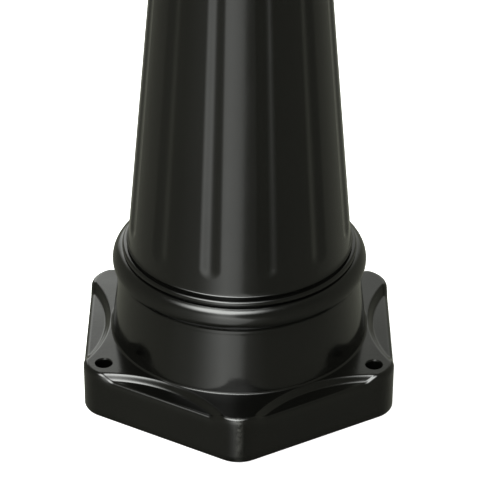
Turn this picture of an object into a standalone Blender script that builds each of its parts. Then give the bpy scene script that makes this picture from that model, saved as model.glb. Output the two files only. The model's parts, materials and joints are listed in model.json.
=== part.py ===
"""Double-dial street clock: a cast foot, a fluted column, a two-part pole and a glazed head.

Metres, +Z up. The origin is the centre of the foot's underside. A corner of the hexagonal
foot and the front dial face -Y, and the back dial faces +Y. Everything at a dial is placed
in that dial's own frame, an empty at its centre: X to the viewer's right, Y up, Z outward.
"""
import math

import bmesh
import bpy
from mathutils import Matrix, Vector

GAP = 0.0003                    # clearance kept between pieces that touch

# Foot
FOOT_ACROSS_FLATS = 0.200
FOOT_RADIUS = FOOT_ACROSS_FLATS / math.sqrt(3.0)
FOOT_CORNER_RADIUS = 0.019
LEDGE_Z = 0.0289                # low strip along each side
PAD_Z = 0.0323                  # raised pad in each corner
PAD_ARC_RADIUS = 0.744 * FOOT_RADIUS
PAD_ARC_CENTRE = 1.494 * FOOT_RADIUS
FOOT_TOP_Z = 0.0968
TORUS_Z = 0.0843
TORUS_SECTION = 0.0082
TORUS_CENTRE_RADIUS = 0.0740
FOOT_WALL = 0.007
FOOT_BRIDGE_Z = (0.060, 0.068)  # the web that the tie tube's nut pulls against
ANCHOR_HOLE_RADIUS = 0.0051
ANCHOR_CIRCLE_RADIUS = 0.1002
ANCHOR_ANGLES = (90.0, 210.0, 330.0)
FOOT_STEPS = 32
HOLLOW_STEPS = 16

# Column
COLUMN_SLOPE = 0.0909           # radius lost per unit of height
COLUMN_BASE_RADIUS = 0.0721
COLUMN_Z = (FOOT_TOP_Z + GAP, 0.440)
COLUMN_WALL = 0.006
FLUTES = 12
FLUTE_Z = (0.108, 0.425)
FLUTE_SECTION = 0.360           # section radius and depth, as shares of the column's radius
FLUTE_DEPTH = 0.0155
FLUTE_FACET = 7.5               # degrees
COLUMN_STEPS = 36

# Pole
COLLAR_Z = (0.4403, 0.485)
LOWER_POLE_Z = (0.4853, 1.080)
MIDDLE_COLLAR_Z = (1.0803, 1.120)
UPPER_POLE_Z = (1.1203, 1.620)
CAPITAL_Z = (1.6203, 1.700)
LOWER_POLE_RADII = (0.030, 0.027)
UPPER_POLE_RADII = (0.026, 0.024)
LOWER_BORE = 0.0235
UPPER_BORE = 0.0195
SPIGOT_LENGTH = 0.012
CABLE_BORE = 0.014
POLE_STEPS = 20

# Tie tube
TUBE_RADIUS = 0.01065
TUBE_BORE = 0.008
TUBE_Z = (0.038, 1.774)
TUBE_HOLE = 0.0113
NUT_ACROSS_FLATS = 0.036
NUT_HEIGHT = 0.012

# Head
HEAD_Z = 1.940
CASE_RADIUS = 0.205
CASE_INNER_RADIUS = 0.199
CASE_RIM_RADIUS = 0.2105
CASE_HALF_DEPTH = 0.045
DIAL_SEAT = (0.034, 0.038)      # the case's inner flange, from the middle plane outward
HEAD_STEPS = 32
DIAL_Z = (0.0383, 0.0403)
DIAL_RADIUS = 0.189
BEZEL_Z = (0.0453, 0.073)
BEZEL_RADIUS = 0.212
BEZEL_BORE = 0.1875
SIGHT_RADIUS = 0.176
GLASS_Z = (0.0567, 0.0597)
GLASS_RADIUS = 0.1868
GASKET_Z = (0.0520, 0.0564)
HINGE_X = 0.219
HINGE_Z = 0.0455
HINGE_HALF_HEIGHT = 0.030
KNUCKLE_RADIUS = 0.005
KNUCKLE_HALF_HEIGHT = 0.0100
LATCH_X = -0.2200
LATCH_OUTER_X = LATCH_X - 0.006
LATCH_HALF_HEIGHT = 0.008
LATCH_LUG_TOP_Z = 0.053
SCREW_TRAVEL = 0.008

# Scroll brackets
SCROLL_HALF_LENGTH = 0.200
SCROLL_STEPS = 30
SCROLL_BAR_RADIUS = 0.005
SCROLL_MIDDLE = (0.051, 0.0, 1.675)
SCROLL_MIDDLE_HEADING = math.radians(68.0)
SCROLL_MIDDLE_CURVATURE = 1.0 / 0.300
SCROLL_END_CURVATURE = 1.0 / 0.016

# Motion work, both pairs on the same centre distance: 8:24 and 8:32 teeth give 12:1
CENTRE_DISTANCE = 0.020
PINION_TEETH = 8
MINUTE_WHEEL_TEETH = 24
HOUR_WHEEL_TEETH = 32
MINUTE_MODULE = 2.0 * CENTRE_DISTANCE / (PINION_TEETH + MINUTE_WHEEL_TEETH)
HOUR_MODULE = 2.0 * CENTRE_DISTANCE / (PINION_TEETH + HOUR_WHEEL_TEETH)
PRESSURE_ANGLE = math.radians(25.0)
ADDENDUM = 0.70                 # in modules
DEDENDUM = 0.95
TOOTH_SHARE = 0.45              # tooth width on the pitch circle, as a share of the pitch
MINUTE_GEAR_Z = (0.020, 0.024)
HOUR_GEAR_Z = (0.027, 0.031)
ARBOR_RADIUS = 0.0024
PIPE_RADIUS = 0.005
POST_RADIUS = 0.0018
MOVEMENT_SIZE = (0.068, 0.088)
MOVEMENT_WALL = 0.002
MOVEMENT_Z = (0.0140, 0.0357)
PLATE_Z = (0.0360, 0.0380)
BUSH_RADIUS = 0.0075
MINUTE_HAND_ANGLE = -60.0       # about the dial's Z, so clockwise for the viewer: ten past ten
HOUR_HAND_ANGLE = -305.0
HOUR_HAND_Z = (0.0442, 0.0454)
MINUTE_HAND_Z = (0.0470, 0.0482)

FINISHES = {                    # linear colour, metallic, roughness
    "painted": ((0.010, 0.010, 0.009), 0.0, 0.25),
    "steel": ((0.45, 0.45, 0.44), 1.0, 0.35),
    "brass": ((0.58, 0.40, 0.14), 1.0, 0.30),
    "dial": ((0.86, 0.84, 0.76), 0.0, 0.45),
    "hand": ((0.008, 0.008, 0.008), 0.0, 0.40),
    "glass": ((0.90, 0.95, 0.93), 0.0, 0.03),
    "rubber": ((0.015, 0.015, 0.015), 0.0, 0.80),
    "motor": ((0.06, 0.06, 0.065), 0.0, 0.55),
}


def clear_scene():
    for obj in list(bpy.data.objects):
        bpy.data.objects.remove(obj, do_unlink=True)


def new_collection(name):
    collection = bpy.data.collections.new(name)
    bpy.context.scene.collection.children.link(collection)
    return collection


clear_scene()
PARTS = new_collection("street_clock")
CUTTERS = new_collection("street_clock_cutters")


# ---------------------------------------------------------------- building blocks

def material(name, finish):
    colour, metallic, roughness = FINISHES[finish]
    made = bpy.data.materials.new(name)
    made.use_nodes = True
    shader = made.node_tree.nodes["Principled BSDF"]
    shader.inputs["Base Color"].default_value = (*colour, 1.0)
    shader.inputs["Metallic"].default_value = metallic
    shader.inputs["Roughness"].default_value = roughness
    return made


def place(name, data, finish, parent=None, at=(0.0, 0.0, 0.0), turn=(0.0, 0.0, 0.0)):
    """Add an object. With finish None it is a cutter, and isn't part of the clock."""
    obj = bpy.data.objects.new(name, data)
    obj.parent = parent
    obj.location = at
    obj.rotation_euler = [math.radians(angle) for angle in turn]
    if finish is None:
        obj.hide_render = True
        obj.display_type = "WIRE"
        CUTTERS.objects.link(obj)
    else:
        data.materials.append(material(name, finish))
        PARTS.objects.link(obj)
    return obj


def pivot(name, at, turn=(0.0, 0.0, 0.0), parent=None):
    empty = bpy.data.objects.new(name, None)
    empty.parent = parent
    empty.location = at
    empty.rotation_euler = [math.radians(angle) for angle in turn]
    PARTS.objects.link(empty)
    return empty


def turned(name, profile, steps, finish, ring=False, **where):
    """Turn a profile of (radius, z) about Z. It runs down the outer side, and closes if a ring."""
    count = len(profile)
    edges = [(i, i + 1) for i in range(count - 1)]
    if ring:
        edges.append((count - 1, 0))
    mesh = bpy.data.meshes.new(name)
    mesh.from_pydata([(radius, 0.0, z) for radius, z in profile], edges, [])
    obj = place(name, mesh, finish, **where)
    screw = obj.modifiers.new("turn", "SCREW")
    screw.steps = steps
    screw.render_steps = steps
    screw.use_merge_vertices = True
    screw.merge_threshold = 0.00001
    screw.use_smooth_shade = True
    return obj


def tube_profile(outer, inner, z_range):
    low, high = z_range
    return [(outer, high), (outer, low), (inner, low), (inner, high)]


def cylinder(name, radius, z_range, steps, finish, **where):
    low, high = z_range
    mesh = bpy.data.meshes.new(name)
    bm = bmesh.new()
    bmesh.ops.create_cone(bm, cap_ends=True, segments=steps, radius1=radius, radius2=radius,
                          depth=high - low, matrix=Matrix.Translation((0.0, 0.0, (low + high) / 2)))
    bm.to_mesh(mesh)
    bm.free()
    mesh.shade_smooth()
    mesh.set_sharp_from_angle(angle=math.radians(35.0))
    return place(name, mesh, finish, **where)


def block(name, low, high, finish, **where):
    """A box between two corners."""
    low, high = Vector(low), Vector(high)
    mesh = bpy.data.meshes.new(name)
    bm = bmesh.new()
    size = Matrix.Diagonal((*(high - low), 1.0))
    bmesh.ops.create_cube(bm, size=1.0, matrix=Matrix.Translation((low + high) / 2) @ size)
    bm.to_mesh(mesh)
    bm.free()
    return place(name, mesh, finish, **where)


def combine(obj, operation, *others):
    """Boolean modifiers, in order. The other objects are cutters or joined lumps."""
    for other in others:
        modifier = obj.modifiers.new(operation.lower() + "_" + other.name, "BOOLEAN")
        modifier.operation = operation
        modifier.solver = "EXACT"
        modifier.object = other
    return obj


def cut(obj, *cutters):
    return combine(obj, "DIFFERENCE", *cutters)


def join(obj, *lumps):
    return combine(obj, "UNION", *lumps)


def arc(centre_radius, centre_z, section, start, end, steps):
    """Points of (radius, z) along an arc, angles in degrees from the outward direction."""
    points = []
    for i in range(steps + 1):
        angle = math.radians(start + (end - start) * i / steps)
        points.append((centre_radius + section * math.cos(angle),
                       centre_z + section * math.sin(angle)))
    return points


def on_circle(radius, degrees):
    return (radius * math.cos(math.radians(degrees)), radius * math.sin(math.radians(degrees)))


# ---------------------------------------------------------------- foot

def hexagon_prism(name, radius, z_range, corner_radius, finish):
    """A hexagonal prism with a corner towards -Y and its upright edges rounded."""
    prism = cylinder(name, radius, z_range, 6, finish)
    mesh = prism.data
    bm = bmesh.new()
    bm.from_mesh(mesh)
    if corner_radius > 0.0:
        upright = [e for e in bm.edges if abs(e.verts[0].co.z - e.verts[1].co.z) > GAP]
        width = corner_radius * math.tan(math.radians(30.0))
        bmesh.ops.bevel(bm, geom=upright, offset=width, segments=4, profile=0.5, affect="EDGES")
    bm.to_mesh(mesh)
    bm.free()
    return prism


def ledge_cutters():
    """One upright cylinder for each side. It clears the pads away and leaves the lens-shaped ledge."""
    cutters = []
    for side in range(6):
        x, y = on_circle(PAD_ARC_CENTRE, 60.0 * side)
        cutters.append(cylinder("ledge_cutter_%d" % side, PAD_ARC_RADIUS, (LEDGE_Z, PAD_Z + 0.01),
                                64, None, at=(x, y, 0.0)))
    return cutters


def foot_mouldings():
    """Drum, half-round moulding and ring, as one turned lump that the plinth is joined to."""
    inside = PAD_Z - 0.012
    profile = [(0.0, FOOT_TOP_Z), (COLUMN_BASE_RADIUS + 0.0004, FOOT_TOP_Z), (0.0730, 0.0951),
               (0.0756, 0.0946), (0.0756, 0.0929), (0.0750, 0.0926)]
    profile += arc(TORUS_CENTRE_RADIUS, TORUS_Z, TORUS_SECTION, 75.0, -60.0, 5)
    profile += [(0.0786, 0.0760), (0.0837, 0.0350), (0.0855, PAD_Z + GAP), (0.0855, inside),
                (0.0, inside)]
    return turned("foot_mouldings", profile, FOOT_STEPS, None)


def foot_hollow():
    """The hexagonal space under the plinth, which leaves a boss round each anchor hole."""
    inset = FOOT_WALL / math.cos(math.radians(30.0))
    hollow = hexagon_prism("foot_hollow", FOOT_RADIUS - inset,
                           (-0.002, LEDGE_Z - FOOT_WALL), 0.012, None)
    for angle in ANCHOR_ANGLES:
        boss = cylinder("anchor_boss_%d" % angle, 0.0105, (-0.004, 0.040), 16, None,
                        at=(*on_circle(ANCHOR_CIRCLE_RADIUS, angle), 0.0))
        cut(hollow, boss)
    return hollow


def foot_casting():
    foot = hexagon_prism("foot_casting", FOOT_RADIUS, (0.0, PAD_Z), FOOT_CORNER_RADIUS, "painted")
    cut(foot, *ledge_cutters())
    join(foot, foot_mouldings())
    bridge_low, bridge_high = FOOT_BRIDGE_Z
    lower = turned("foot_lower_hollow", [(0.0, bridge_low), (0.069, bridge_low), (0.076, 0.020),
                                         (0.076, -0.002), (0.0, -0.002)], HOLLOW_STEPS, None)
    upper = turned("foot_upper_hollow", [(0.0, FOOT_TOP_Z + 0.01), (0.0558, FOOT_TOP_Z + 0.01),
                                         (0.0558, 0.090), (0.065, 0.081), (0.065, bridge_high),
                                         (0.0, bridge_high)], HOLLOW_STEPS, None)
    tube_hole = cylinder("foot_tube_hole", TUBE_HOLE, (0.05, 0.08), 16, None)
    cut(foot, foot_hollow(), lower, upper, tube_hole)
    for angle in ANCHOR_ANGLES:
        hole = cylinder("anchor_hole_%d" % angle, ANCHOR_HOLE_RADIUS, (-0.004, 0.040), 16, None,
                        at=(*on_circle(ANCHOR_CIRCLE_RADIUS, angle), 0.0))
        cut(foot, hole)
    return foot


# ---------------------------------------------------------------- column and pole

def column_radius(z):
    return COLUMN_BASE_RADIUS - COLUMN_SLOPE * (z - COLUMN_Z[0])


def flute_cutters():
    """Twelve round-ended tapered rods, lying along the cone and sunk in it by the flute's depth."""
    half_width = math.sqrt(FLUTE_DEPTH * (2.0 * FLUTE_SECTION - FLUTE_DEPTH))
    stand_off = 1.0 + FLUTE_SECTION - FLUTE_DEPTH
    low = FLUTE_Z[0] + half_width * column_radius(FLUTE_Z[0])
    high = FLUTE_Z[1] - half_width * column_radius(FLUTE_Z[1])
    low_point = Vector((stand_off * column_radius(low), 0.0, low))
    high_point = Vector((stand_off * column_radius(high), 0.0, high))
    length = (high_point - low_point).length
    facets = round(90.0 / FLUTE_FACET)
    profile = arc(0.0, length, FLUTE_SECTION * column_radius(high), 90.0, 0.0, facets)
    profile += arc(0.0, 0.0, FLUTE_SECTION * column_radius(low), 0.0, -90.0, facets)
    profile[0] = (0.0, profile[0][1])
    profile[-1] = (0.0, profile[-1][1])
    rod = bmesh.new()
    points = [rod.verts.new((radius, 0.0, z)) for radius, z in profile]
    for first, second in zip(points, points[1:]):
        rod.edges.new((first, second))
    bmesh.ops.spin(rod, geom=rod.verts[:] + rod.edges[:], cent=(0.0, 0.0, 0.0),
                   axis=(0.0, 0.0, 1.0), dvec=(0.0, 0.0, 0.0), angle=math.tau,
                   steps=4 * facets)
    bmesh.ops.remove_doubles(rod, verts=rod.verts, dist=0.00001)
    bmesh.ops.recalc_face_normals(rod, faces=rod.faces)
    lean = (high_point - low_point).to_track_quat("Z", "Y").to_matrix().to_4x4()
    bmesh.ops.transform(rod, matrix=Matrix.Translation(low_point) @ lean, verts=rod.verts)
    one = bpy.data.meshes.new("flute_rod")
    rod.to_mesh(one)
    rod.free()
    rods = bmesh.new()
    for flute in range(FLUTES):
        before = len(rods.verts)
        rods.from_mesh(one)
        rods.verts.ensure_lookup_table()
        # Flutes straddle the corner that faces -Y, where a flat land runs down the column
        angle = math.tau * (flute + 0.5) / FLUTES
        bmesh.ops.rotate(rods, verts=rods.verts[before:], cent=(0.0, 0.0, 0.0),
                         matrix=Matrix.Rotation(angle, 3, "Z"))
    mesh = bpy.data.meshes.new("flute_cutters")
    rods.to_mesh(mesh)
    rods.free()
    return place("flute_cutters", mesh, None)


def column_casting():
    low, high = COLUMN_Z
    spigot = low - 0.0065
    profile = [(column_radius(high), high), (column_radius(low), low), (0.0547, low),
               (0.0547, spigot), (0.049, spigot), (0.049, low + COLUMN_WALL),
               (column_radius(low) - COLUMN_WALL, low + COLUMN_WALL),
               (column_radius(high) - COLUMN_WALL, high)]
    column = turned("column_casting", profile, COLUMN_STEPS, "painted", ring=True)
    return cut(column, flute_cutters())


def collar(name, moulding, z_range, spigot_below, spigot_above):
    """A turned collar with a spigot at each end. The moulding runs down its outer side."""
    low, high = z_range
    profile = [(spigot_above, high + SPIGOT_LENGTH), (spigot_above, high)] if spigot_above else []
    profile += moulding + [(spigot_below, low), (spigot_below, low - SPIGOT_LENGTH),
                           (CABLE_BORE, low - SPIGOT_LENGTH)]
    profile.append((CABLE_BORE, high + (SPIGOT_LENGTH if spigot_above else 0.0)))
    return turned(name, profile, POLE_STEPS, "painted", ring=True)


def collars():
    low, high = COLLAR_Z
    top = column_radius(COLUMN_Z[1])
    moulding = [(0.0315, high), (0.0345, high - 0.003), (0.0345, high - 0.007)]
    moulding += arc(0.0350, high - 0.0190, 0.0095, 65.0, -65.0, 3)
    moulding += [(0.0450, low + 0.0120), (0.0450, low + 0.0070), (top + 0.001, low + 0.003),
                 (top, low)]
    collar("cone_collar", moulding, COLLAR_Z, 0.0338, LOWER_BORE - GAP)

    low, high = MIDDLE_COLLAR_Z
    moulding = [(0.0275, high), (0.0300, high - 0.003), (0.0300, high - 0.007)]
    moulding += arc(0.0290, high - 0.0190, 0.0090, 65.0, -65.0, 3)
    moulding += [(0.0330, low + 0.009), (0.0330, low + 0.004), (0.0285, low)]
    collar("middle_collar", moulding, MIDDLE_COLLAR_Z, LOWER_BORE - GAP, UPPER_BORE - GAP)

    low, high = CAPITAL_Z
    moulding = [(0.0370, high), (0.0370, high - 0.009), (0.0345, high - 0.012)]
    moulding += arc(0.0520, low + 0.0380, 0.0240, 135.0, 190.0, 3)
    moulding += [(0.0310, low + 0.020), (0.0310, low + 0.012), (0.0255, low + 0.006),
                 (0.0255, low)]
    collar("capital", moulding, CAPITAL_Z, UPPER_BORE - GAP, None)


def pole(name, z_range, radii, bore):
    low, high = z_range
    return turned(name, [(radii[1], high), (radii[0], low), (bore, low), (bore, high)],
                  POLE_STEPS, "painted", ring=True)


def hex_nut(name, z_range, across_flats, hole, finish, **where):
    nut = cylinder(name, across_flats / math.sqrt(3.0), z_range, 6, finish, **where)
    low, high = z_range
    return cut(nut, cylinder(name + "_hole", hole, (low - 0.01, high + 0.01), 16, None, **where))


def tie_tube():
    """The steel tube that pulls foot, column, pole and head together, and carries the supply."""
    turned("tie_tube", tube_profile(TUBE_RADIUS, TUBE_BORE, TUBE_Z), 16, "steel", ring=True)
    top = FOOT_BRIDGE_Z[0] - GAP
    washer = (top - 0.0025, top)
    turned("foot_washer", tube_profile(0.024, TUBE_HOLE, washer), 24, "steel", ring=True)
    nut_top = washer[0] - GAP
    hex_nut("foot_nut", (nut_top - NUT_HEIGHT, nut_top), NUT_ACROSS_FLATS, TUBE_HOLE, "steel")


# ---------------------------------------------------------------- head, on the middle plane

def case_cylinder(name, radius, half_depth=0.1):
    return cylinder(name, radius, (-half_depth, half_depth), HEAD_STEPS, None, parent=DIALS["front"])


def case_ring():
    inner = CASE_INNER_RADIUS
    half = [(CASE_RIM_RADIUS - 0.002, CASE_HALF_DEPTH), (CASE_RIM_RADIUS, 0.043),
            (CASE_RIM_RADIUS, 0.040), (CASE_RADIUS, 0.037)]
    inside = [(inner, DIAL_SEAT[0]), (0.178, DIAL_SEAT[0]), (0.178, DIAL_SEAT[1]),
              (inner, DIAL_SEAT[1]), (inner, CASE_HALF_DEPTH)]
    profile = half + [(r, -z) for r, z in reversed(half)]
    profile += [(r, -z) for r, z in reversed(inside)] + inside
    ring = turned("case_ring", profile, HEAD_STEPS, "painted", ring=True, parent=DIALS["front"])
    below = HEAD_Z - CASE_RADIUS
    return cut(ring, cylinder("case_tube_hole", TUBE_HOLE, (below - 0.02, below + 0.03), 16, None))


def flared_block(name, z_range, narrow_radius, half_length, half_depth, widest_at_top):
    """A round block that widens to an ellipse at the end that cradles the case."""
    obj = cylinder(name, narrow_radius, z_range, POLE_STEPS, "painted")
    wide_z = z_range[1] if widest_at_top else z_range[0]
    for vertex in obj.data.vertices:
        if abs(vertex.co.z - wide_z) < GAP:
            vertex.co.x *= half_length / narrow_radius
            vertex.co.y *= half_depth / narrow_radius
    return obj


def saddle_and_finial():
    low = CAPITAL_Z[1] + GAP
    saddle = flared_block("head_saddle", (low, low + 0.052), 0.036, 0.064, 0.036, True)
    cut(saddle, case_cylinder("saddle_cradle", CASE_RADIUS + GAP * 4),
        cylinder("saddle_tube_hole", TUBE_HOLE, (low - 0.01, low + 0.07), 16, None))

    top = HEAD_Z + CASE_RADIUS
    base = flared_block("finial_base", (top - 0.008, top + 0.026), 0.026, 0.050, 0.032, False)
    cut(base, case_cylinder("finial_cradle", CASE_RADIUS + GAP * 4))

    low = top + 0.026 + GAP
    profile = [(0.0, low + 0.128), (0.0022, low + 0.1265), (0.0040, low + 0.112),
               (0.0062, low + 0.092), (0.0050, low + 0.086)]
    profile += arc(0.0, low + 0.0600, 0.0240, 72.0, -62.0, 5)
    profile += [(0.0090, low + 0.0330), (0.0110, low + 0.0290), (0.0170, low + 0.0240),
                (0.0170, low + 0.0190), (0.0105, low + 0.0150), (0.0140, low + 0.0080),
                (0.0230, low + 0.0040), (0.0230, low), (0.0, low)]
    turned("finial", profile, 16, "painted")


def head_clamp():
    """Inside the case: the block that spreads the tie tube's pull, its nut and the cable gland."""
    low = HEAD_Z - CASE_INNER_RADIUS
    top = low + 0.016
    clamp = block("head_clamp", (-0.030, -0.022, low - 0.010), (0.030, 0.022, top), "steel")
    combine(clamp, "INTERSECT", case_cylinder("clamp_curve", CASE_INNER_RADIUS - GAP * 4))
    cut(clamp, cylinder("clamp_tube_hole", TUBE_HOLE, (low - 0.02, top + 0.02), 16, None))
    nut_low = top + GAP
    hex_nut("head_nut", (nut_low, nut_low + 0.010), NUT_ACROSS_FLATS, TUBE_HOLE, "steel")
    seat = TUBE_Z[1] + GAP
    turned("cable_gland", [(0.0080, seat + 0.022), (0.0105, seat + 0.018), (0.0125, seat + 0.006),
                           (0.0125, seat), (TUBE_BORE - GAP, seat), (TUBE_BORE - GAP, seat - 0.008),
                           (0.0045, seat - 0.008), (0.0045, seat + 0.022)], 12, "rubber", ring=True)


def scroll_bracket(name, side):
    """A C-scroll of round bar. Its back touches pole and case, and both ends curl in tightly."""
    step = 2.0 * SCROLL_HALF_LENGTH / SCROLL_STEPS

    def heading(along):
        """The bar's direction at a distance from its middle, from curvature that grows as a cube."""
        share = abs(along) / SCROLL_HALF_LENGTH
        growth = (SCROLL_END_CURVATURE - SCROLL_MIDDLE_CURVATURE) * share ** 3 / 4.0
        return SCROLL_MIDDLE_HEADING - (SCROLL_MIDDLE_CURVATURE + growth) * along

    points = [Vector((0.0, 0.0, 0.0))]
    for i in range(SCROLL_STEPS):
        angle = heading((i + 0.5 - SCROLL_STEPS / 2) * step)
        points.append(points[-1] + step * Vector((math.cos(angle), 0.0, math.sin(angle))))
    shift = Vector(SCROLL_MIDDLE) - points[SCROLL_STEPS // 2]
    curve = bpy.data.curves.new(name, "CURVE")
    curve.dimensions = "3D"
    curve.bevel_depth = SCROLL_BAR_RADIUS
    curve.bevel_resolution = 2
    curve.use_fill_caps = True
    spline = curve.splines.new("POLY")
    spline.points.add(SCROLL_STEPS)
    for spline_point, point in zip(spline.points, points):
        x, y, z = point + shift
        spline_point.co = (side * x, y, z, 1.0)
    return place(name, curve, "painted")


# ---------------------------------------------------------------- doors

def bezel(side, dial, door):
    """The glazed door's cast ring, with the middle hinge knuckle and the screw's lug on it."""
    back, front = BEZEL_Z
    profile = [(0.1900, front), (0.1990, front - 0.003), (0.2080, front - 0.010),
               (BEZEL_RADIUS, front - 0.020), (BEZEL_RADIUS, back), (BEZEL_BORE, back),
               (BEZEL_BORE, GLASS_Z[1] + GAP), (SIGHT_RADIUS, GLASS_Z[1] + GAP),
               (SIGHT_RADIUS, front - 0.008), (0.1810, front - 0.003)]
    ring_at = (-HINGE_X, 0.0, -HINGE_Z)
    name = side + "_bezel"
    ring = turned(name, profile, HEAD_STEPS, "painted", ring=True, parent=door, at=ring_at)
    height = KNUCKLE_HALF_HEIGHT - GAP
    arm = block(name + "_arm", (0.203, -height, back), (HINGE_X, height, HINGE_Z + 0.005), None,
                parent=dial)
    knuckle = cylinder(name + "_knuckle", KNUCKLE_RADIUS, (-height, height), 16, None,
                       parent=dial, at=(HINGE_X, 0.0, HINGE_Z), turn=(-90.0, 0.0, 0.0))
    lug = block(name + "_lug", (LATCH_OUTER_X, -LATCH_HALF_HEIGHT, back),
                (-0.203, LATCH_HALF_HEIGHT, LATCH_LUG_TOP_Z), None, parent=dial)
    join(ring, arm, knuckle, lug)
    cut(ring, hinge_bore(name, dial),
        cylinder(name + "_screw_hole", 0.0026, (0.03, 0.07), 16, None, parent=dial,
                 at=(LATCH_X, 0.0, 0.0)))
    return ring


def hinge_bore(name, dial):
    return cylinder(name + "_hinge_bore", 0.0027, (-0.05, 0.05), 12, None, parent=dial,
                    at=(HINGE_X, 0.0, HINGE_Z), turn=(-90.0, 0.0, 0.0))


def hinge(side, dial, door):
    """The leaf on the case with its two outer knuckles, and the pin."""
    name = side + "_hinge_leaf"
    tall = HINGE_HALF_HEIGHT
    leaf = block(name, (0.190, -tall, 0.008), (0.2130, tall, 0.0360), "painted", parent=dial)
    cut(leaf, cylinder(name + "_back", CASE_RADIUS + GAP * 4, (0.0, 0.06), HEAD_STEPS, None,
                       parent=dial))
    for sign in (-1.0, 1.0):
        near = KNUCKLE_HALF_HEIGHT
        low_y, high_y = sorted((sign * near, sign * tall))
        tag = "%s_%s" % (name, "upper" if sign > 0.0 else "lower")
        arm = block(tag + "_arm", (0.2112, low_y, 0.030), (HINGE_X - 0.001, high_y, 0.0450), None,
                    parent=dial)
        knuckle = cylinder(tag + "_knuckle", KNUCKLE_RADIUS, (low_y, high_y), 16, None,
                           parent=dial, at=(HINGE_X, 0.0, HINGE_Z), turn=(-90.0, 0.0, 0.0))
        join(leaf, arm, knuckle)
    cut(leaf, hinge_bore(name, dial))
    reach = tall + 0.002
    turned(side + "_hinge_pin", [(0.0, reach + 0.0016), (0.0034, reach), (0.0034, tall + GAP),
                                 (0.0023, tall + GAP), (0.0023, -tall), (0.0, -tall)],
           12, "steel", parent=dial, at=(HINGE_X, 0.0, HINGE_Z), turn=(-90.0, 0.0, 0.0))


def latch(side, dial):
    """The captive thumb screw opposite the hinge, and the lug on the case that takes it."""
    name = side + "_latch_lug"
    half = LATCH_HALF_HEIGHT
    lug = block(name, (-0.2130, -half, 0.018), (-0.190, half, 0.0360), "painted", parent=dial)
    cut(lug, cylinder(name + "_back", CASE_RADIUS + GAP * 4, (0.0, 0.06), HEAD_STEPS, None,
                      parent=dial))
    tower = block(name + "_tower", (LATCH_OUTER_X, -half, 0.030), (-0.2112, half, CASE_HALF_DEPTH), None,
                  parent=dial)
    join(lug, tower)
    cut(lug, cylinder(name + "_hole", 0.0036, (0.01, 0.06), 16, None, parent=dial,
                      at=(LATCH_X, 0.0, 0.0)))
    seat = LATCH_LUG_TOP_Z + GAP
    thread_top = BEZEL_Z[0] - SCREW_TRAVEL - GAP
    profile = [(0.0, seat + 0.0110), (0.0055, seat + 0.0110), (0.0070, seat + 0.0095),
               (0.0070, seat + 0.0025), (0.0045, seat + 0.0015), (0.0045, seat),
               (0.0021, seat), (0.0021, thread_top), (0.0028, thread_top), (0.0028, 0.0345),
               (0.0020, 0.0335), (0.0, 0.0335)]
    turned(side + "_thumb_screw", profile, 12, "brass", parent=dial, at=(LATCH_X, 0.0, 0.0))


def glazing(side, door):
    centre = (-HINGE_X, 0.0, -HINGE_Z)
    low, high = GLASS_Z
    turned(side + "_glass", [(0.0, high), (GLASS_RADIUS, high), (GLASS_RADIUS, low), (0.0, low)],
           HEAD_STEPS, "glass", parent=door, at=centre)
    turned(side + "_glass_gasket", tube_profile(BEZEL_BORE - GAP * 2, 0.1785, GASKET_Z),
           HEAD_STEPS, "rubber", ring=True, parent=door, at=centre)


# ---------------------------------------------------------------- movement

def involute_angle(radius, base):
    return math.sqrt(max((radius / base) ** 2 - 1.0, 0.0)) - math.acos(min(base / radius, 1.0))


def gear_outline(teeth, module, flank_steps, first_tooth):
    """Points of an involute gear. first_tooth is the angle of one tooth's middle, in radians."""
    pitch = teeth * module / 2.0
    base = pitch * math.cos(PRESSURE_ANGLE)
    tip = pitch + ADDENDUM * module
    root = pitch - DEDENDUM * module
    half_at_pitch = TOOTH_SHARE * math.pi / teeth
    start = max(base, root)
    flank = []
    for i in range(flank_steps + 1):
        radius = start + (tip - start) * i / flank_steps
        half = half_at_pitch + involute_angle(pitch, base) - involute_angle(radius, base)
        flank.append((radius, half))
    if start > root:
        flank.insert(0, (root, flank[0][1]))
    points = []
    for tooth in range(teeth):
        middle = first_tooth + math.tau * tooth / teeth
        for radius, half in flank:
            points.append((radius, middle - half))
        for radius, half in reversed(flank):
            points.append((radius, middle + half))
    return [(r * math.cos(a), r * math.sin(a)) for r, a in points]


def gear(name, teeth, module, flank_steps, first_tooth, z_range, finish, **where):
    outline = gear_outline(teeth, module, flank_steps, first_tooth)
    return plate_from_outlines(name, [outline], z_range, finish, **where)


def plate_from_outlines(name, outlines, z_range, finish, **where):
    """A flat piece: filled outlines, the inner ones holes, as a welded and extruded curve."""
    low, high = z_range
    curve = bpy.data.curves.new(name, "CURVE")
    curve.dimensions = "2D"
    curve.fill_mode = "BOTH"
    curve.extrude = (high - low) / 2.0
    for outline in outlines:
        spline = curve.splines.new("POLY")
        spline.points.add(len(outline) - 1)
        spline.use_cyclic_u = True
        for point, (x, y) in zip(spline.points, outline):
            point.co = (x, y, 0.0, 1.0)
    flat = bpy.data.objects.new(name + "_outline", curve)
    CUTTERS.objects.link(flat)
    graph = bpy.context.evaluated_depsgraph_get()
    mesh = bpy.data.meshes.new_from_object(flat.evaluated_get(graph))
    bpy.data.objects.remove(flat, do_unlink=True)
    bm = bmesh.new()
    bm.from_mesh(mesh)
    bmesh.ops.remove_doubles(bm, verts=bm.verts, dist=0.000001)
    bmesh.ops.translate(bm, verts=bm.verts, vec=(0.0, 0.0, (low + high) / 2.0))
    bmesh.ops.recalc_face_normals(bm, faces=bm.faces)
    bm.to_mesh(mesh)
    bm.free()
    mesh.materials.clear()
    return place(name, mesh, finish, **where)


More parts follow.
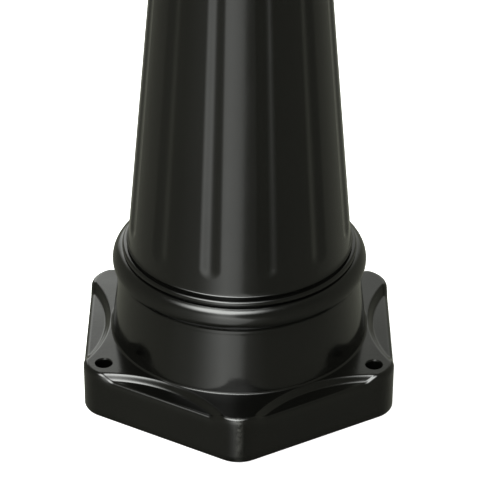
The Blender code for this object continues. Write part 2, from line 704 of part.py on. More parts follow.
def motion_work(side, dial):
    """Minute arbor, minute wheel and hour wheel, with a tooth of each pinion in a gap of its wheel."""
    up = math.pi / 2.0
    arbor = cylinder(side + "_minute_arbor", ARBOR_RADIUS, (0.0080, 0.0492), 12, "brass",
                     parent=dial)
    join(arbor, gear(side + "_arbor_pinion", PINION_TEETH, MINUTE_MODULE, 2, up, MINUTE_GEAR_Z,
                     None, parent=dial))

    centre = (0.0, CENTRE_DISTANCE, 0.0)
    half_pitch = math.pi / MINUTE_WHEEL_TEETH
    wheel = gear(side + "_minute_wheel", MINUTE_WHEEL_TEETH, MINUTE_MODULE, 1, -up + half_pitch,
                 MINUTE_GEAR_Z, "brass", parent=dial, at=centre)
    pinion = gear(side + "_wheel_pinion", PINION_TEETH, HOUR_MODULE, 2, -up,
                  (MINUTE_GEAR_Z[1] - 0.001, HOUR_GEAR_Z[1] + 0.001), None, parent=dial, at=centre)
    join(wheel, pinion)
    cut(wheel, cylinder(side + "_wheel_bore", POST_RADIUS + GAP, (0.01, 0.04), 12, None,
                        parent=dial, at=centre))
    cylinder(side + "_wheel_post", POST_RADIUS, (MOVEMENT_Z[0] + MOVEMENT_WALL + GAP,
                                                 PLATE_Z[0] - GAP), 12, "steel",
             parent=dial, at=centre)

    half_pitch = math.pi / HOUR_WHEEL_TEETH
    hour = gear(side + "_hour_wheel", HOUR_WHEEL_TEETH, HOUR_MODULE, 1, up + half_pitch,
                HOUR_GEAR_Z, "brass", parent=dial)
    pipe = cylinder(side + "_hour_pipe", PIPE_RADIUS, (HOUR_GEAR_Z[0] + 0.001, 0.0459), 16, None,
                    parent=dial)
    join(hour, pipe)
    cut(hour, cylinder(side + "_hour_bore", ARBOR_RADIUS + GAP, (0.01, 0.06), 12, None,
                       parent=dial))


def movement_frame(side, dial):
    """Case, plate with its threaded bush, nut on the dial, and the motor behind."""
    half_x, half_y = MOVEMENT_SIZE[0] / 2.0, MOVEMENT_SIZE[1] / 2.0
    wall = MOVEMENT_WALL
    case = block(side + "_movement_case", (-half_x, -half_y, MOVEMENT_Z[0]),
                 (half_x, half_y, MOVEMENT_Z[1]), "motor", parent=dial)
    room = block(side + "_movement_room", (wall - half_x, wall - half_y, MOVEMENT_Z[0] + wall),
                 (half_x - wall, half_y - wall, MOVEMENT_Z[1] + 0.01), None, parent=dial)
    arbor_hole = cylinder(side + "_case_hole", 0.0032, (0.01, 0.02), 12, None, parent=dial)
    cut(case, room, arbor_hole)

    plate = block(side + "_movement_plate", (-half_x, -half_y, PLATE_Z[0]),
                  (half_x, half_y, PLATE_Z[1]), "brass", parent=dial)
    bush = cylinder(side + "_bush", BUSH_RADIUS, (PLATE_Z[0] + 0.001, 0.0436), 16, None, parent=dial)
    join(plate, bush)
    cut(plate, cylinder(side + "_bush_bore", PIPE_RADIUS + GAP, (0.03, 0.05), 16, None,
                        parent=dial))
    nut_low = DIAL_Z[1] + GAP
    hex_nut(side + "_dial_nut", (nut_low, nut_low + 0.0025), 0.022, BUSH_RADIUS + GAP, "brass",
            parent=dial)
    top = MOVEMENT_Z[0] - GAP
    turned(side + "_motor", [(0.0, 0.007), (ARBOR_RADIUS + GAP, 0.007), (ARBOR_RADIUS + GAP, top),
                             (0.0205, top), (0.022, top - 0.0015), (0.022, 0.0005), (0.0, 0.0005)],
           24, "motor", parent=dial)


def hand(name, profile, hub, bore, z_range, angle, dial):
    """A flat hand that points up before it is turned. The profile is (half width, distance)."""
    right = list(profile)
    left = [(-x, y) for x, y in reversed(profile) if x > 0.0]
    outline = right + left
    blade = plate_from_outlines(name, [outline], z_range, "hand", parent=dial,
                                turn=(0.0, 0.0, angle))
    disc = cylinder(name + "_hub", hub, z_range, 20, None, parent=dial)
    low, high = z_range
    join(blade, disc)
    return cut(blade, cylinder(name + "_bore", bore, (low - 0.002, high + 0.002), 16, None,
                               parent=dial))


def hands(side, dial):
    hour = [(0.0030, -0.026), (0.0042, -0.022), (0.0034, -0.012), (0.0038, 0.010), (0.0026, 0.060),
            (0.0060, 0.066), (0.0092, 0.076), (0.0070, 0.087), (0.0026, 0.098), (0.0, 0.112)]
    hand(side + "_hour_hand", hour, 0.0095, PIPE_RADIUS + GAP, HOUR_HAND_Z, HOUR_HAND_ANGLE, dial)
    minute = [(0.0034, -0.040), (0.0046, -0.034), (0.0028, -0.016), (0.0030, 0.010),
              (0.0022, 0.100), (0.0046, 0.107), (0.0060, 0.116), (0.0044, 0.126),
              (0.0017, 0.136), (0.0, 0.160)]
    hand(side + "_minute_hand", minute, 0.0080, ARBOR_RADIUS + GAP, MINUTE_HAND_Z,
         MINUTE_HAND_ANGLE, dial)
    seat = MINUTE_HAND_Z[1] + GAP
    bore = ARBOR_RADIUS + GAP
    turned(side + "_hand_nut", [(0.0, seat + 0.0042), (0.0034, seat + 0.0038),
                                (0.0054, seat + 0.0022), (0.0054, seat), (bore, seat),
                                (bore, seat + 0.0013), (0.0, seat + 0.0013)],
           12, "brass", parent=dial)


def dial_plate(side, dial):
    turned(side + "_dial", tube_profile(DIAL_RADIUS, BUSH_RADIUS + 0.0005, DIAL_Z), HEAD_STEPS,
           "dial", ring=True, parent=dial)


# ---------------------------------------------------------------- assembly

DIALS = {
    "front": pivot("front_dial_frame", (0.0, 0.0, HEAD_Z), (90.0, 0.0, 0.0)),
    "back": pivot("back_dial_frame", (0.0, 0.0, HEAD_Z), (90.0, 0.0, 180.0)),
}


def build_post():
    foot_casting()
    column_casting()
    collars()
    pole("lower_pole", LOWER_POLE_Z, LOWER_POLE_RADII, LOWER_BORE)
    pole("upper_pole", UPPER_POLE_Z, UPPER_POLE_RADII, UPPER_BORE)
    tie_tube()


def build_head():
    case_ring()
    saddle_and_finial()
    head_clamp()
    scroll_bracket("scroll_right", 1.0)
    scroll_bracket("scroll_left", -1.0)
    for side, dial in DIALS.items():
        door = pivot(side + "_door_pivot", (HINGE_X, 0.0, HINGE_Z), parent=dial)
        bezel(side, dial, door)
        glazing(side, door)
        hinge(side, dial, door)
        latch(side, dial)
        dial_plate(side, dial)
        movement_frame(side, dial)
        motion_work(side, dial)
        hands(side, dial)


build_post()
build_head()
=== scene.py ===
"""Looks of the street clock: camera, light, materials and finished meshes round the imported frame.

The main view shows the foot and the lower column. The rest is finished for the other views. Every
CAD node is replaced: some by a finer mesh made here, the others by a copy with softened edges.
"""
import json
import math

import bmesh
import bpy
import numpy as np
from mathutils import Euler, Matrix, Vector


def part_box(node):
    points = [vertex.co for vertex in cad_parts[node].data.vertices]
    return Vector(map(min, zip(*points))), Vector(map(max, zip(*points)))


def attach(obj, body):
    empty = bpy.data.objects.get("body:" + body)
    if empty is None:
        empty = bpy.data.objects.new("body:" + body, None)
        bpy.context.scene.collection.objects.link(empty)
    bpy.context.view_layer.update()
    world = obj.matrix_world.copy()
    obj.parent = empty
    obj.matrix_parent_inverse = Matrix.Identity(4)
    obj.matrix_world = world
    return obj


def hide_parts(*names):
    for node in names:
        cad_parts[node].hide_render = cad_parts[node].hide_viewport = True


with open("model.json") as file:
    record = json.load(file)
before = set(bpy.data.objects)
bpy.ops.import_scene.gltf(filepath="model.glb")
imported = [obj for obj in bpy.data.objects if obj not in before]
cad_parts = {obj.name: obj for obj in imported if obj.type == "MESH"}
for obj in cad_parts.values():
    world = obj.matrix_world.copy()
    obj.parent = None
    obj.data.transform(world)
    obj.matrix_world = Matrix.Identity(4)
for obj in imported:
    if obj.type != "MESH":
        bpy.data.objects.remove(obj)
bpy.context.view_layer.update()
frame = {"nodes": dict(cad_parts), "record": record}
NODES = frame["nodes"]
TAU = math.tau

# ---------------------------------------------------------------- sizes read from the frame

FOOT_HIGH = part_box("foot_casting")[1]
COLUMN_LOW, COLUMN_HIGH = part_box("column_casting")
CASE_LOW, CASE_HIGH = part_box("case_ring")
APOTHEM = FOOT_HIGH.x                              # half the foot's width across flats
HEX_RADIUS = APOTHEM / math.cos(math.radians(30.0))
FOOT_TOP = FOOT_HIGH.z
HEAD_Z = (CASE_LOW.z + CASE_HIGH.z) / 2
FINIAL_LOW_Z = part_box("finial")[0].z
SADDLE_LOW_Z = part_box("head_saddle")[0].z
BASE_TOP_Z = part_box("finial_base")[1].z

# Each dial's own axes: X to the viewer's right, Y up, Z outward
DIALS = {side: (Matrix.Translation((0.0, 0.0, HEAD_Z))
                @ Euler((math.radians(90.0), 0.0, turn)).to_matrix().to_4x4())
         for side, turn in (("front", 0.0), ("back", math.pi))}
HINGE_X, HINGE_Z, LATCH_X = 0.219, 0.0455, -0.220

# ---------------------------------------------------------------- stage: camera, floor, lights

CAMERA_AT = Vector((0.0003, -1.3239, 0.9143))
CAMERA_PITCH = 31.76                               # degrees below the horizon
CAMERA_ROLL = 0.32
CAMERA_LENS = 180.7

BACKDROP_WHITE = 1.05

# Brightness of the room and of its softboxes, as (direction in degrees, strength)
ROOM_TINT = (1.05, 1.07, 0.88, 1.0)
BOX_TINT = (0.99, 1.01, 0.98, 1.0)
ROOM_BY_ELEVATION = ((-90, 0.06), (-56, 0.09), (-40, 0.17), (-28, 0.25), (0, 0.29), (30, 0.25),
                     (60, 0.18), (90, 0.20))
ROOM_BY_AZIMUTH = ((-180, 1.0), (-120, 0.95), (-60, 1.05), (0, 0.95), (25, 0.78), (80, 0.78),
                   (120, 1.0), (180, 1.0))
STRIP_BY_AZIMUTH = ((-66, 0.0), (-42, 0.18), (-34, 0.46), (-30, 0.70), (-22, 1.34), (-15, 1.82),
                    (180, 1.82))
STRIP_EDGE_BY_ELEVATION = ((-40, -3), (-24, 0), (-18, 4), (-8, 7), (14, 11), (34, -4), (90, -8))
STRIP_PAST_EDGE = ((-14, 1.0), (-8, 0.88), (-4, 0.78), (0, 0.60), (3, 0.20), (5, 0.10), (14, 0.04),
                   (22, 0.0))
STRIP_BY_ELEVATION = ((-42, 0.0), (-32, 0.55), (-24, 1.0), (-6, 1.0), (12, 1.3), (28, 1.9), (38, 1.5),
                      (52, 1.5), (62, 2.4), (72, 0.0))
OVERHEAD_TOWARD = (-42.0, 76.0)
OVERHEAD_BY_ANGLE = ((0, 14.0), (11, 13.0), (18, 6.0), (24, 1.0), (29, 0.0))
BACK_BY_AZIMUTH = ((146, 0.0), (160, 0.75), (177, 0.8), (183, 2.2), (202, 2.2), (214, 0.0))
BACK_BY_ELEVATION = ((2, 0.0), (12, 1.0), (32, 1.0), (38, 0.0))


def make_camera():
    data = bpy.data.cameras.new("camera")
    data.lens = CAMERA_LENS
    data.sensor_width = 36.0
    data.clip_end = 100.0
    camera = bpy.data.objects.new("camera", data)
    camera.location = CAMERA_AT
    aim = Euler((math.radians(90.0 - CAMERA_PITCH), 0.0, 0.0)).to_matrix()
    camera.rotation_euler = (aim @ Matrix.Rotation(math.radians(CAMERA_ROLL), 3, "Z")).to_euler()
    bpy.context.scene.collection.objects.link(camera)
    bpy.context.scene.camera = camera


def make_floor():
    mesh = bpy.data.meshes.new("floor")
    half = 60.0
    mesh.from_pydata([(-half, -half, 0), (half, -half, 0), (half, half, 0), (-half, half, 0)], [],
                     [(0, 1, 2, 3)])
    floor = bpy.data.objects.new("floor", mesh)
    floor.location.z = -0.0005
    bpy.context.scene.collection.objects.link(floor)
    floor.visible_glossy = False
    material = bpy.data.materials.new("floor_white")
    material.use_nodes = True
    shader = material.node_tree.nodes["Principled BSDF"]
    shader.inputs["Base Color"].default_value = (0.85, 0.85, 0.85, 1.0)
    shader.inputs["Roughness"].default_value = 0.9
    shader.inputs["Specular IOR Level"].default_value = 0.0
    shader.inputs["Emission Color"].default_value = (1.0, 1.0, 1.0, 1.0)
    shader.inputs["Emission Strength"].default_value = 0.75
    mesh.materials.append(material)


def feed(tree, socket, value):
    """Link a value that comes from another node, or set a plain one."""
    if isinstance(value, bpy.types.NodeSocket):
        tree.links.new(value, socket)
    else:
        socket.default_value = value


def add_math(tree, operation, *values):
    node = tree.nodes.new("ShaderNodeMath")
    node.operation = operation
    for socket, value in zip(node.inputs, values):
        feed(tree, socket, value)
    return node.outputs[0]


def make_world():
    """A dim studio with bright softboxes that stand in fixed directions. The camera sees white.

    Azimuth runs from the camera's side of the object, positive to the right, and 180 is behind it.
    """
    world = bpy.data.worlds.new("studio")
    bpy.context.scene.world = world
    world.use_nodes = True
    tree = world.node_tree
    tree.nodes.clear()

    def math_node(operation, *values):
        return add_math(tree, operation, *values)

    def background(colour, strength):
        node = tree.nodes.new("ShaderNodeBackground")
        node.inputs["Color"].default_value = colour
        feed(tree, node.inputs["Strength"], strength)
        return node.outputs[0]

    def curve(value, stops):
        """Straight lines between (value, strength) stops."""
        low, high = stops[0][0], stops[-1][0]
        least = min(strength for _, strength in stops)
        span = max(strength for _, strength in stops) - least
        along = math_node("DIVIDE", math_node("SUBTRACT", value, low), high - low)
        node = tree.nodes.new("ShaderNodeValToRGB")
        tree.links.new(along, node.inputs[0])
        elements = node.color_ramp.elements
        while len(elements) < len(stops):
            elements.new(1.0)
        for element, (at, strength) in zip(elements, stops):
            element.position = (at - low) / (high - low)
            level = (strength - least) / span
            element.color = (level, level, level, 1.0)
        return math_node("MULTIPLY_ADD", node.outputs[0], span, least)

    split = tree.nodes.new("ShaderNodeSeparateXYZ")
    tree.links.new(tree.nodes.new("ShaderNodeTexCoord").outputs["Generated"], split.inputs[0])
    x, y, z = split.outputs
    degrees = 180.0 / math.pi
    toward = math_node("MULTIPLY", y, -1.0)
    azimuth = math_node("MULTIPLY", math_node("ARCTAN2", x, toward), degrees)
    elevation = math_node("MULTIPLY", math_node("ARCSINE", z), degrees)
    round_back = math_node("ADD", azimuth, math_node("MULTIPLY", math_node("LESS_THAN", azimuth, 0.0),
                                                     360.0))
    room = curve(elevation, ROOM_BY_ELEVATION)
    room = math_node("MULTIPLY", room, curve(azimuth, ROOM_BY_AZIMUTH))
    past_edge = math_node("SUBTRACT", azimuth, curve(elevation, STRIP_EDGE_BY_ELEVATION))
    strip = math_node("MULTIPLY", curve(azimuth, STRIP_BY_AZIMUTH), curve(elevation, STRIP_BY_ELEVATION))
    strip = math_node("MULTIPLY", strip, curve(past_edge, STRIP_PAST_EDGE))
    overhead_azimuth, overhead_elevation = (math.radians(angle) for angle in OVERHEAD_TOWARD)
    level = math.cos(overhead_elevation)
    nearness = math_node("MULTIPLY", x, math.sin(overhead_azimuth) * level)
    nearness = math_node("MULTIPLY_ADD", toward, math.cos(overhead_azimuth) * level, nearness)
    nearness = math_node("MULTIPLY_ADD", z, math.sin(overhead_elevation), nearness)
    over = curve(math_node("MULTIPLY", math_node("ARCCOSINE", nearness), degrees), OVERHEAD_BY_ANGLE)
    back = math_node("MULTIPLY", curve(round_back, BACK_BY_AZIMUTH), curve(elevation, BACK_BY_ELEVATION))
    boxes = math_node("ADD", math_node("ADD", strip, over), back)
    both = tree.nodes.new("ShaderNodeAddShader")
    tree.links.new(background(ROOM_TINT, room), both.inputs[0])
    tree.links.new(background(BOX_TINT, boxes), both.inputs[1])
    mix = tree.nodes.new("ShaderNodeMixShader")
    tree.links.new(tree.nodes.new("ShaderNodeLightPath").outputs["Is Camera Ray"], mix.inputs[0])
    tree.links.new(both.outputs[0], mix.inputs[1])
    tree.links.new(background((1.0, 1.0, 1.0, 1.0), BACKDROP_WHITE), mix.inputs[2])
    output = tree.nodes.new("ShaderNodeOutputWorld")
    tree.links.new(mix.outputs[0], output.inputs["Surface"])


def make_stage():
    make_camera()
    make_floor()
    make_world()
    bpy.context.scene.view_settings.view_transform = "Standard"


# ---------------------------------------------------------------- materials

def new_material(name, colour, roughness, metallic=0.0):
    material = bpy.data.materials.new(name)
    material.use_nodes = True
    shader = material.node_tree.nodes["Principled BSDF"]
    shader.inputs["Base Color"].default_value = (*colour, 1.0)
    shader.inputs["Roughness"].default_value = roughness
    shader.inputs["Metallic"].default_value = metallic
    return material


class Nodes:
    """Short ways to add and join the nodes of one material."""

    def __init__(self, material):
        self.tree = material.node_tree
        self.shader = self.tree.nodes["Principled BSDF"]
        self.place = self.tree.nodes.new("ShaderNodeTexCoord").outputs["Object"]

    def add(self, kind, **inputs):
        node = self.tree.nodes.new("ShaderNode" + kind)
        for name, value in inputs.items():
            feed(self.tree, node.inputs[name.replace("_", " ")], value)
        return node

    def noise(self, scale, detail=2.0, roughness=0.5):
        node = self.add("TexNoise", Vector=self.place, Scale=scale, Detail=detail,
                        Roughness=roughness)
        return node.outputs["Fac"]

    def ramp(self, value, low, high, to_low=0.0, to_high=1.0):
        return self.add("MapRange", Value=value, From_Min=low, From_Max=high, To_Min=to_low,
                        To_Max=to_high).outputs[0]

    def mix_colour(self, factor, first, second):
        node = self.tree.nodes.new("ShaderNodeMix")
        node.data_type = "RGBA"
        for place, value in ((0, factor), (6, first), (7, second)):
            feed(self.tree, node.inputs[place], value)
        return node.outputs[2]

    def math(self, operation, *values):
        return add_math(self.tree, operation, *values)

    def bump(self, height, strength, distance, below=None):
        node = self.add("Bump", Height=height, Strength=strength, Distance=distance)
        if below is not None:
            feed(self.tree, node.inputs["Normal"], below)
        self.tree.links.new(node.outputs[0], self.shader.inputs["Normal"])
        return node.outputs[0]

    def join(self, value, socket):
        self.tree.links.new(value, self.shader.inputs[socket])


def brass_material():
    """Polished brass that has dulled unevenly, with fine turning marks."""
    material = new_material("dulled_brass", (0.58, 0.40, 0.14), 0.3, 1.0)
    nodes = Nodes(material)
    dull = nodes.ramp(nodes.noise(140.0, 4.0), 0.40, 0.70)
    colour = nodes.mix_colour(dull, (0.62, 0.43, 0.16, 1.0), (0.34, 0.22, 0.09, 1.0))
    nodes.join(colour, "Base Color")
    nodes.join(nodes.ramp(dull, 0.0, 1.0, 0.22, 0.46), "Roughness")
    nodes.bump(nodes.noise(1800.0, 2.0), 0.10, 0.0001)
    return material


def steel_material():
    """Zinc-plated steel: pale spangle, small stains in the plating."""
    material = new_material("zinc_plated_steel", (0.45, 0.45, 0.44), 0.35, 1.0)
    nodes = Nodes(material)
    spangle = nodes.add("TexVoronoi", Vector=nodes.place, Scale=170.0).outputs["Distance"]
    stain = nodes.ramp(nodes.noise(35.0, 5.0), 0.55, 0.75)
    colour = nodes.mix_colour(spangle, (0.52, 0.52, 0.51, 1.0), (0.38, 0.38, 0.37, 1.0))
    nodes.join(nodes.mix_colour(stain, colour, (0.24, 0.22, 0.19, 1.0)), "Base Color")
    nodes.join(nodes.ramp(nodes.noise(90.0, 3.0), 0.3, 0.7, 0.28, 0.48), "Roughness")
    nodes.bump(nodes.noise(700.0, 2.0), 0.15, 0.0001)
    return material


def dial_material():
    """Ivory enamel: slow clouding, sparse brown flecks, faint ripple."""
    material = new_material("ivory_enamel", (0.80, 0.76, 0.64), 0.28)
    nodes = Nodes(material)
    cloud = nodes.ramp(nodes.noise(7.0, 4.0), 0.35, 0.65)
    fleck = nodes.ramp(nodes.noise(160.0, 5.0), 0.66, 0.78)
    colour = nodes.mix_colour(cloud, (0.82, 0.78, 0.66, 1.0), (0.76, 0.71, 0.57, 1.0))
    nodes.join(nodes.mix_colour(nodes.math("MULTIPLY", fleck, 0.35), colour, (0.40, 0.34, 0.24, 1.0)),
               "Base Color")
    nodes.join(nodes.ramp(nodes.noise(30.0, 3.0), 0.3, 0.7, 0.24, 0.36), "Roughness")
    nodes.bump(nodes.noise(55.0, 2.0), 0.10, 0.0003)
    return material


def glass_material():
    """Clear float glass with a trace of dust in its polish."""
    material = new_material("float_glass", (0.96, 0.985, 0.975), 0.02)
    nodes = Nodes(material)
    nodes.shader.inputs["Transmission Weight"].default_value = 1.0
    nodes.shader.inputs["IOR"].default_value = 1.50
    haze = nodes.ramp(nodes.noise(45.0, 6.0), 0.5, 0.8)
    nodes.join(nodes.ramp(haze, 0.0, 1.0, 0.01, 0.07), "Roughness")
    colour = nodes.mix_colour(nodes.noise(12.0, 2.0), (0.965, 0.985, 0.975, 1.0), (0.95, 0.98, 0.965, 1.0))
    nodes.join(colour, "Base Color")
    return material


def dull_material(name, dark, light, roughness, grain):
    """Rubber, plastic and flat paint: two close tones and a fine grain."""
    material = new_material(name, dark, roughness)
    nodes = Nodes(material)
    tone = nodes.ramp(nodes.noise(grain / 12.0, 4.0), 0.35, 0.65)
    nodes.join(nodes.mix_colour(tone, (*dark, 1.0), (*light, 1.0)), "Base Color")
    nodes.join(nodes.ramp(nodes.noise(grain / 4.0, 3.0), 0.3, 0.7, roughness - 0.07, roughness + 0.07),
               "Roughness")
    nodes.bump(nodes.noise(grain, 2.0), 0.20, 0.0001)
    return material


def painted_material():
    """Gloss black paint over a casting: slow waviness, fine orange peel, and on the front corner wear plus
    a painted highlight.
    """
    material = new_material("gloss_black_paint", (0.008, 0.008, 0.0075), 0.12)
    nodes = Nodes(material)
    tone = nodes.ramp(nodes.noise(9.0, 3.0), 0.35, 0.65)
    colour = nodes.mix_colour(tone, (0.0013, 0.0013, 0.0012, 1.0), (0.0020, 0.0020, 0.0017, 1.0))
    # Paint worn thin along the plinth's front corner, plus a painted highlight there: a lighter colour
    # that grows toward the top
    split = nodes.add("SeparateXYZ", Vector=nodes.place)
    x, y, z = split.outputs
    wear_and_highlight = nodes.ramp(nodes.math("ABSOLUTE", x), 0.0, 0.0034, 1.0, 0.0)
    wear_and_highlight = nodes.math("MULTIPLY", wear_and_highlight, nodes.ramp(y, -0.1085, -0.1110))
    wear_and_highlight = nodes.math("MULTIPLY", wear_and_highlight, nodes.ramp(nodes.noise(260.0, 5.0, 0.7), 0.36, 0.70))
    wear_and_highlight = nodes.math("MULTIPLY", wear_and_highlight, nodes.ramp(z, 0.0, 0.030, 0.25, 0.7))
    # The lighter colour on the front corner is partly wear and partly a painted highlight
    nodes.join(nodes.mix_colour(wear_and_highlight, colour, (0.075, 0.075, 0.068, 1.0)), "Base Color")
    rough = nodes.ramp(nodes.noise(60.0, 4.0), 0.3, 0.7, 0.11, 0.17)
    nodes.join(nodes.math("MULTIPLY_ADD", wear_and_highlight, 0.3, rough), "Roughness")
    wave = nodes.bump(nodes.noise(22.0, 1.0), 0.5, 0.0003)
    nodes.bump(nodes.noise(450.0, 2.0), 0.12, 0.0001, wave)
    return material


# ---------------------------------------------------------------- mesh building

SHARP_ANGLE = math.radians(38.0)


def object_from_grid(name, rows, close_rows, material, caps=False):
    """Quads over rows of points. Each row closes on itself; close_rows joins last row to first."""
    rows = np.asarray(rows, float)
    count, around = rows.shape[:2]
    faces = []
    last = count if close_rows else count - 1
    index = np.arange(count * around).reshape(count, around)
    for i in range(last):
        here, there = index[i], index[(i + 1) % count]
        for j in range(around):
            k = (j + 1) % around
            faces.append((here[j], there[j], there[k], here[k]))
    if caps:
        faces.append(tuple(index[0]))
        faces.append(tuple(reversed(index[-1])))
    mesh = bpy.data.meshes.new(name)
    mesh.from_pydata(rows.reshape(-1, 3).tolist(), [], faces)
    mesh.shade_smooth()
    mesh.materials.append(material)
    obj = bpy.data.objects.new(name, mesh)
    bpy.context.scene.collection.objects.link(obj)
    return obj


def arc_points(centre, radius, start, end, steps):
    """(r, z) points along an arc; angles in degrees from the outward direction."""
    angles = np.radians(np.linspace(start, end, steps + 1))
    return [(centre[0] + radius * math.cos(a), centre[1] + radius * math.sin(a)) for a in angles]


def round_profile(points, radius_of, steps=5):
    """Round the corners of an open (r, z) profile. radius_of maps a point's index to its radius."""
    out = []
    for i, point in enumerate(points):
        radius = radius_of.get(i, 0.0)
        if radius <= 0.0 or i in (0, len(points) - 1):
            out.append(point)
            continue
        here = Vector(point)
        before = (Vector(points[i - 1]) - here)
        after = (Vector(points[i + 1]) - here)
        half = before.angle(after) / 2
        reach = min(radius / math.tan(half), before.length * 0.49, after.length * 0.49)
        start, end = here + before.normalized() * reach, here + after.normalized() * reach
        for step in range(steps + 1):
            t = step / steps
            a = start.lerp(here, t)
            b = here.lerp(end, t)
            out.append(tuple(a.lerp(b, t)))
    return out


def apply_modifiers(obj):
    graph = bpy.context.evaluated_depsgraph_get()
    mesh = bpy.data.meshes.new_from_object(obj.evaluated_get(graph))
    obj.modifiers.clear()
    obj.data = mesh


def cut_by(obj, cutter):
    modifier = obj.modifiers.new("cut", "BOOLEAN")
    modifier.object = cutter
    modifier.operation = "DIFFERENCE"
    modifier.solver = "EXACT"
    apply_modifiers(obj)
    bpy.data.objects.remove(cutter, do_unlink=True)
    obj.data.set_sharp_from_angle(angle=SHARP_ANGLE)
    return obj


# ---------------------------------------------------------------- foot

FOOT_AROUND = 720
CORNER_RADIUS = 0.019
LEDGE_Z = 0.0289
PAD_Z = 0.0323
STEP_WIDTH = 0.0050
PAD_ARC_RADIUS = 0.744 * HEX_RADIUS
PAD_ARC_CENTRE = 1.494 * HEX_RADIUS
TOP_EDGE_RADIUS = 0.0032
DRUM_LOW = (0.0832, 0.0350)
DRUM_HIGH = (0.0786, 0.0744)
FLARE = (0.0004, 0.0110)            # how much wider the drum is at its base, and over what height
FILLET = 0.0014
ANCHOR_ANGLES = (90.0, 210.0, 330.0)
ANCHOR_CIRCLE = 0.1002
ANCHOR_RADIUS = 0.0051
TORUS_CENTRE = (0.0740, 0.0836)
TORUS_SECTION = 0.0082
RING_CENTRE = (0.0738, 0.0934)
RING_SECTION = 0.0020
SHOULDER_RADIUS = 0.0722            # the wall between the ring and the foot of the column
RIM_WIDTH = 0.007                   # underside: the rim that stands on the ground
BRIDGE_Z = (0.0600, 0.0680)         # the web that the tie tube pulls against
BRIDGE_HOLE_RADIUS = 0.0115
UPPER_HOLLOW_RADIUS = 0.0640
TOP_HOLLOW_RADIUS = 0.0560


def smooth(t):
    t = np.clip(t, 0.0, 1.0)
    return t * t * (3.0 - 2.0 * t)


def outline_radius(theta, inset=0.0):
    """Distance from the axis to the rounded hexagon, moved inward by inset, along each angle."""
    apothem, corner = APOTHEM - inset, CORNER_RADIUS - inset
    centre = HEX_RADIUS - CORNER_RADIUS / math.cos(math.radians(30.0))
    from_side = (np.degrees(theta) + 30.0) % 60.0 - 30.0
    straight = apothem / np.cos(np.radians(from_side))
    turn = np.radians(30.0 - np.abs(from_side))
    around = centre * np.cos(turn) + np.sqrt(np.maximum(corner ** 2 - (centre * np.sin(turn)) ** 2, 0.0))
    tangent = math.degrees(math.atan2(centre * math.sin(math.radians(30.0)), apothem))
    return np.where(np.abs(from_side) < tangent, straight, around)


def top_height(x, y):
    """Height of the plinth's top: low lens-shaped ledges, and pads raised by a soft step."""
    edge = np.full_like(x, 1.0)
    for side in range(6):
        angle = math.radians(60.0 * side)
        cx, cy = PAD_ARC_CENTRE * math.cos(angle), PAD_ARC_CENTRE * math.sin(angle)
        edge = np.minimum(edge, np.hypot(x - cx, y - cy) - PAD_ARC_RADIUS)
    return LEDGE_Z + (PAD_Z - LEDGE_Z) * smooth(edge / STEP_WIDTH + 0.5)


def drum_radius(z):
    t = (z - DRUM_LOW[1]) / (DRUM_HIGH[1] - DRUM_LOW[1])
    low = np.clip(1.0 - (z - PAD_Z) / FLARE[1], 0.0, 1.2)
    return DRUM_LOW[0] + (DRUM_HIGH[0] - DRUM_LOW[0]) * t + FLARE[0] * low ** 2


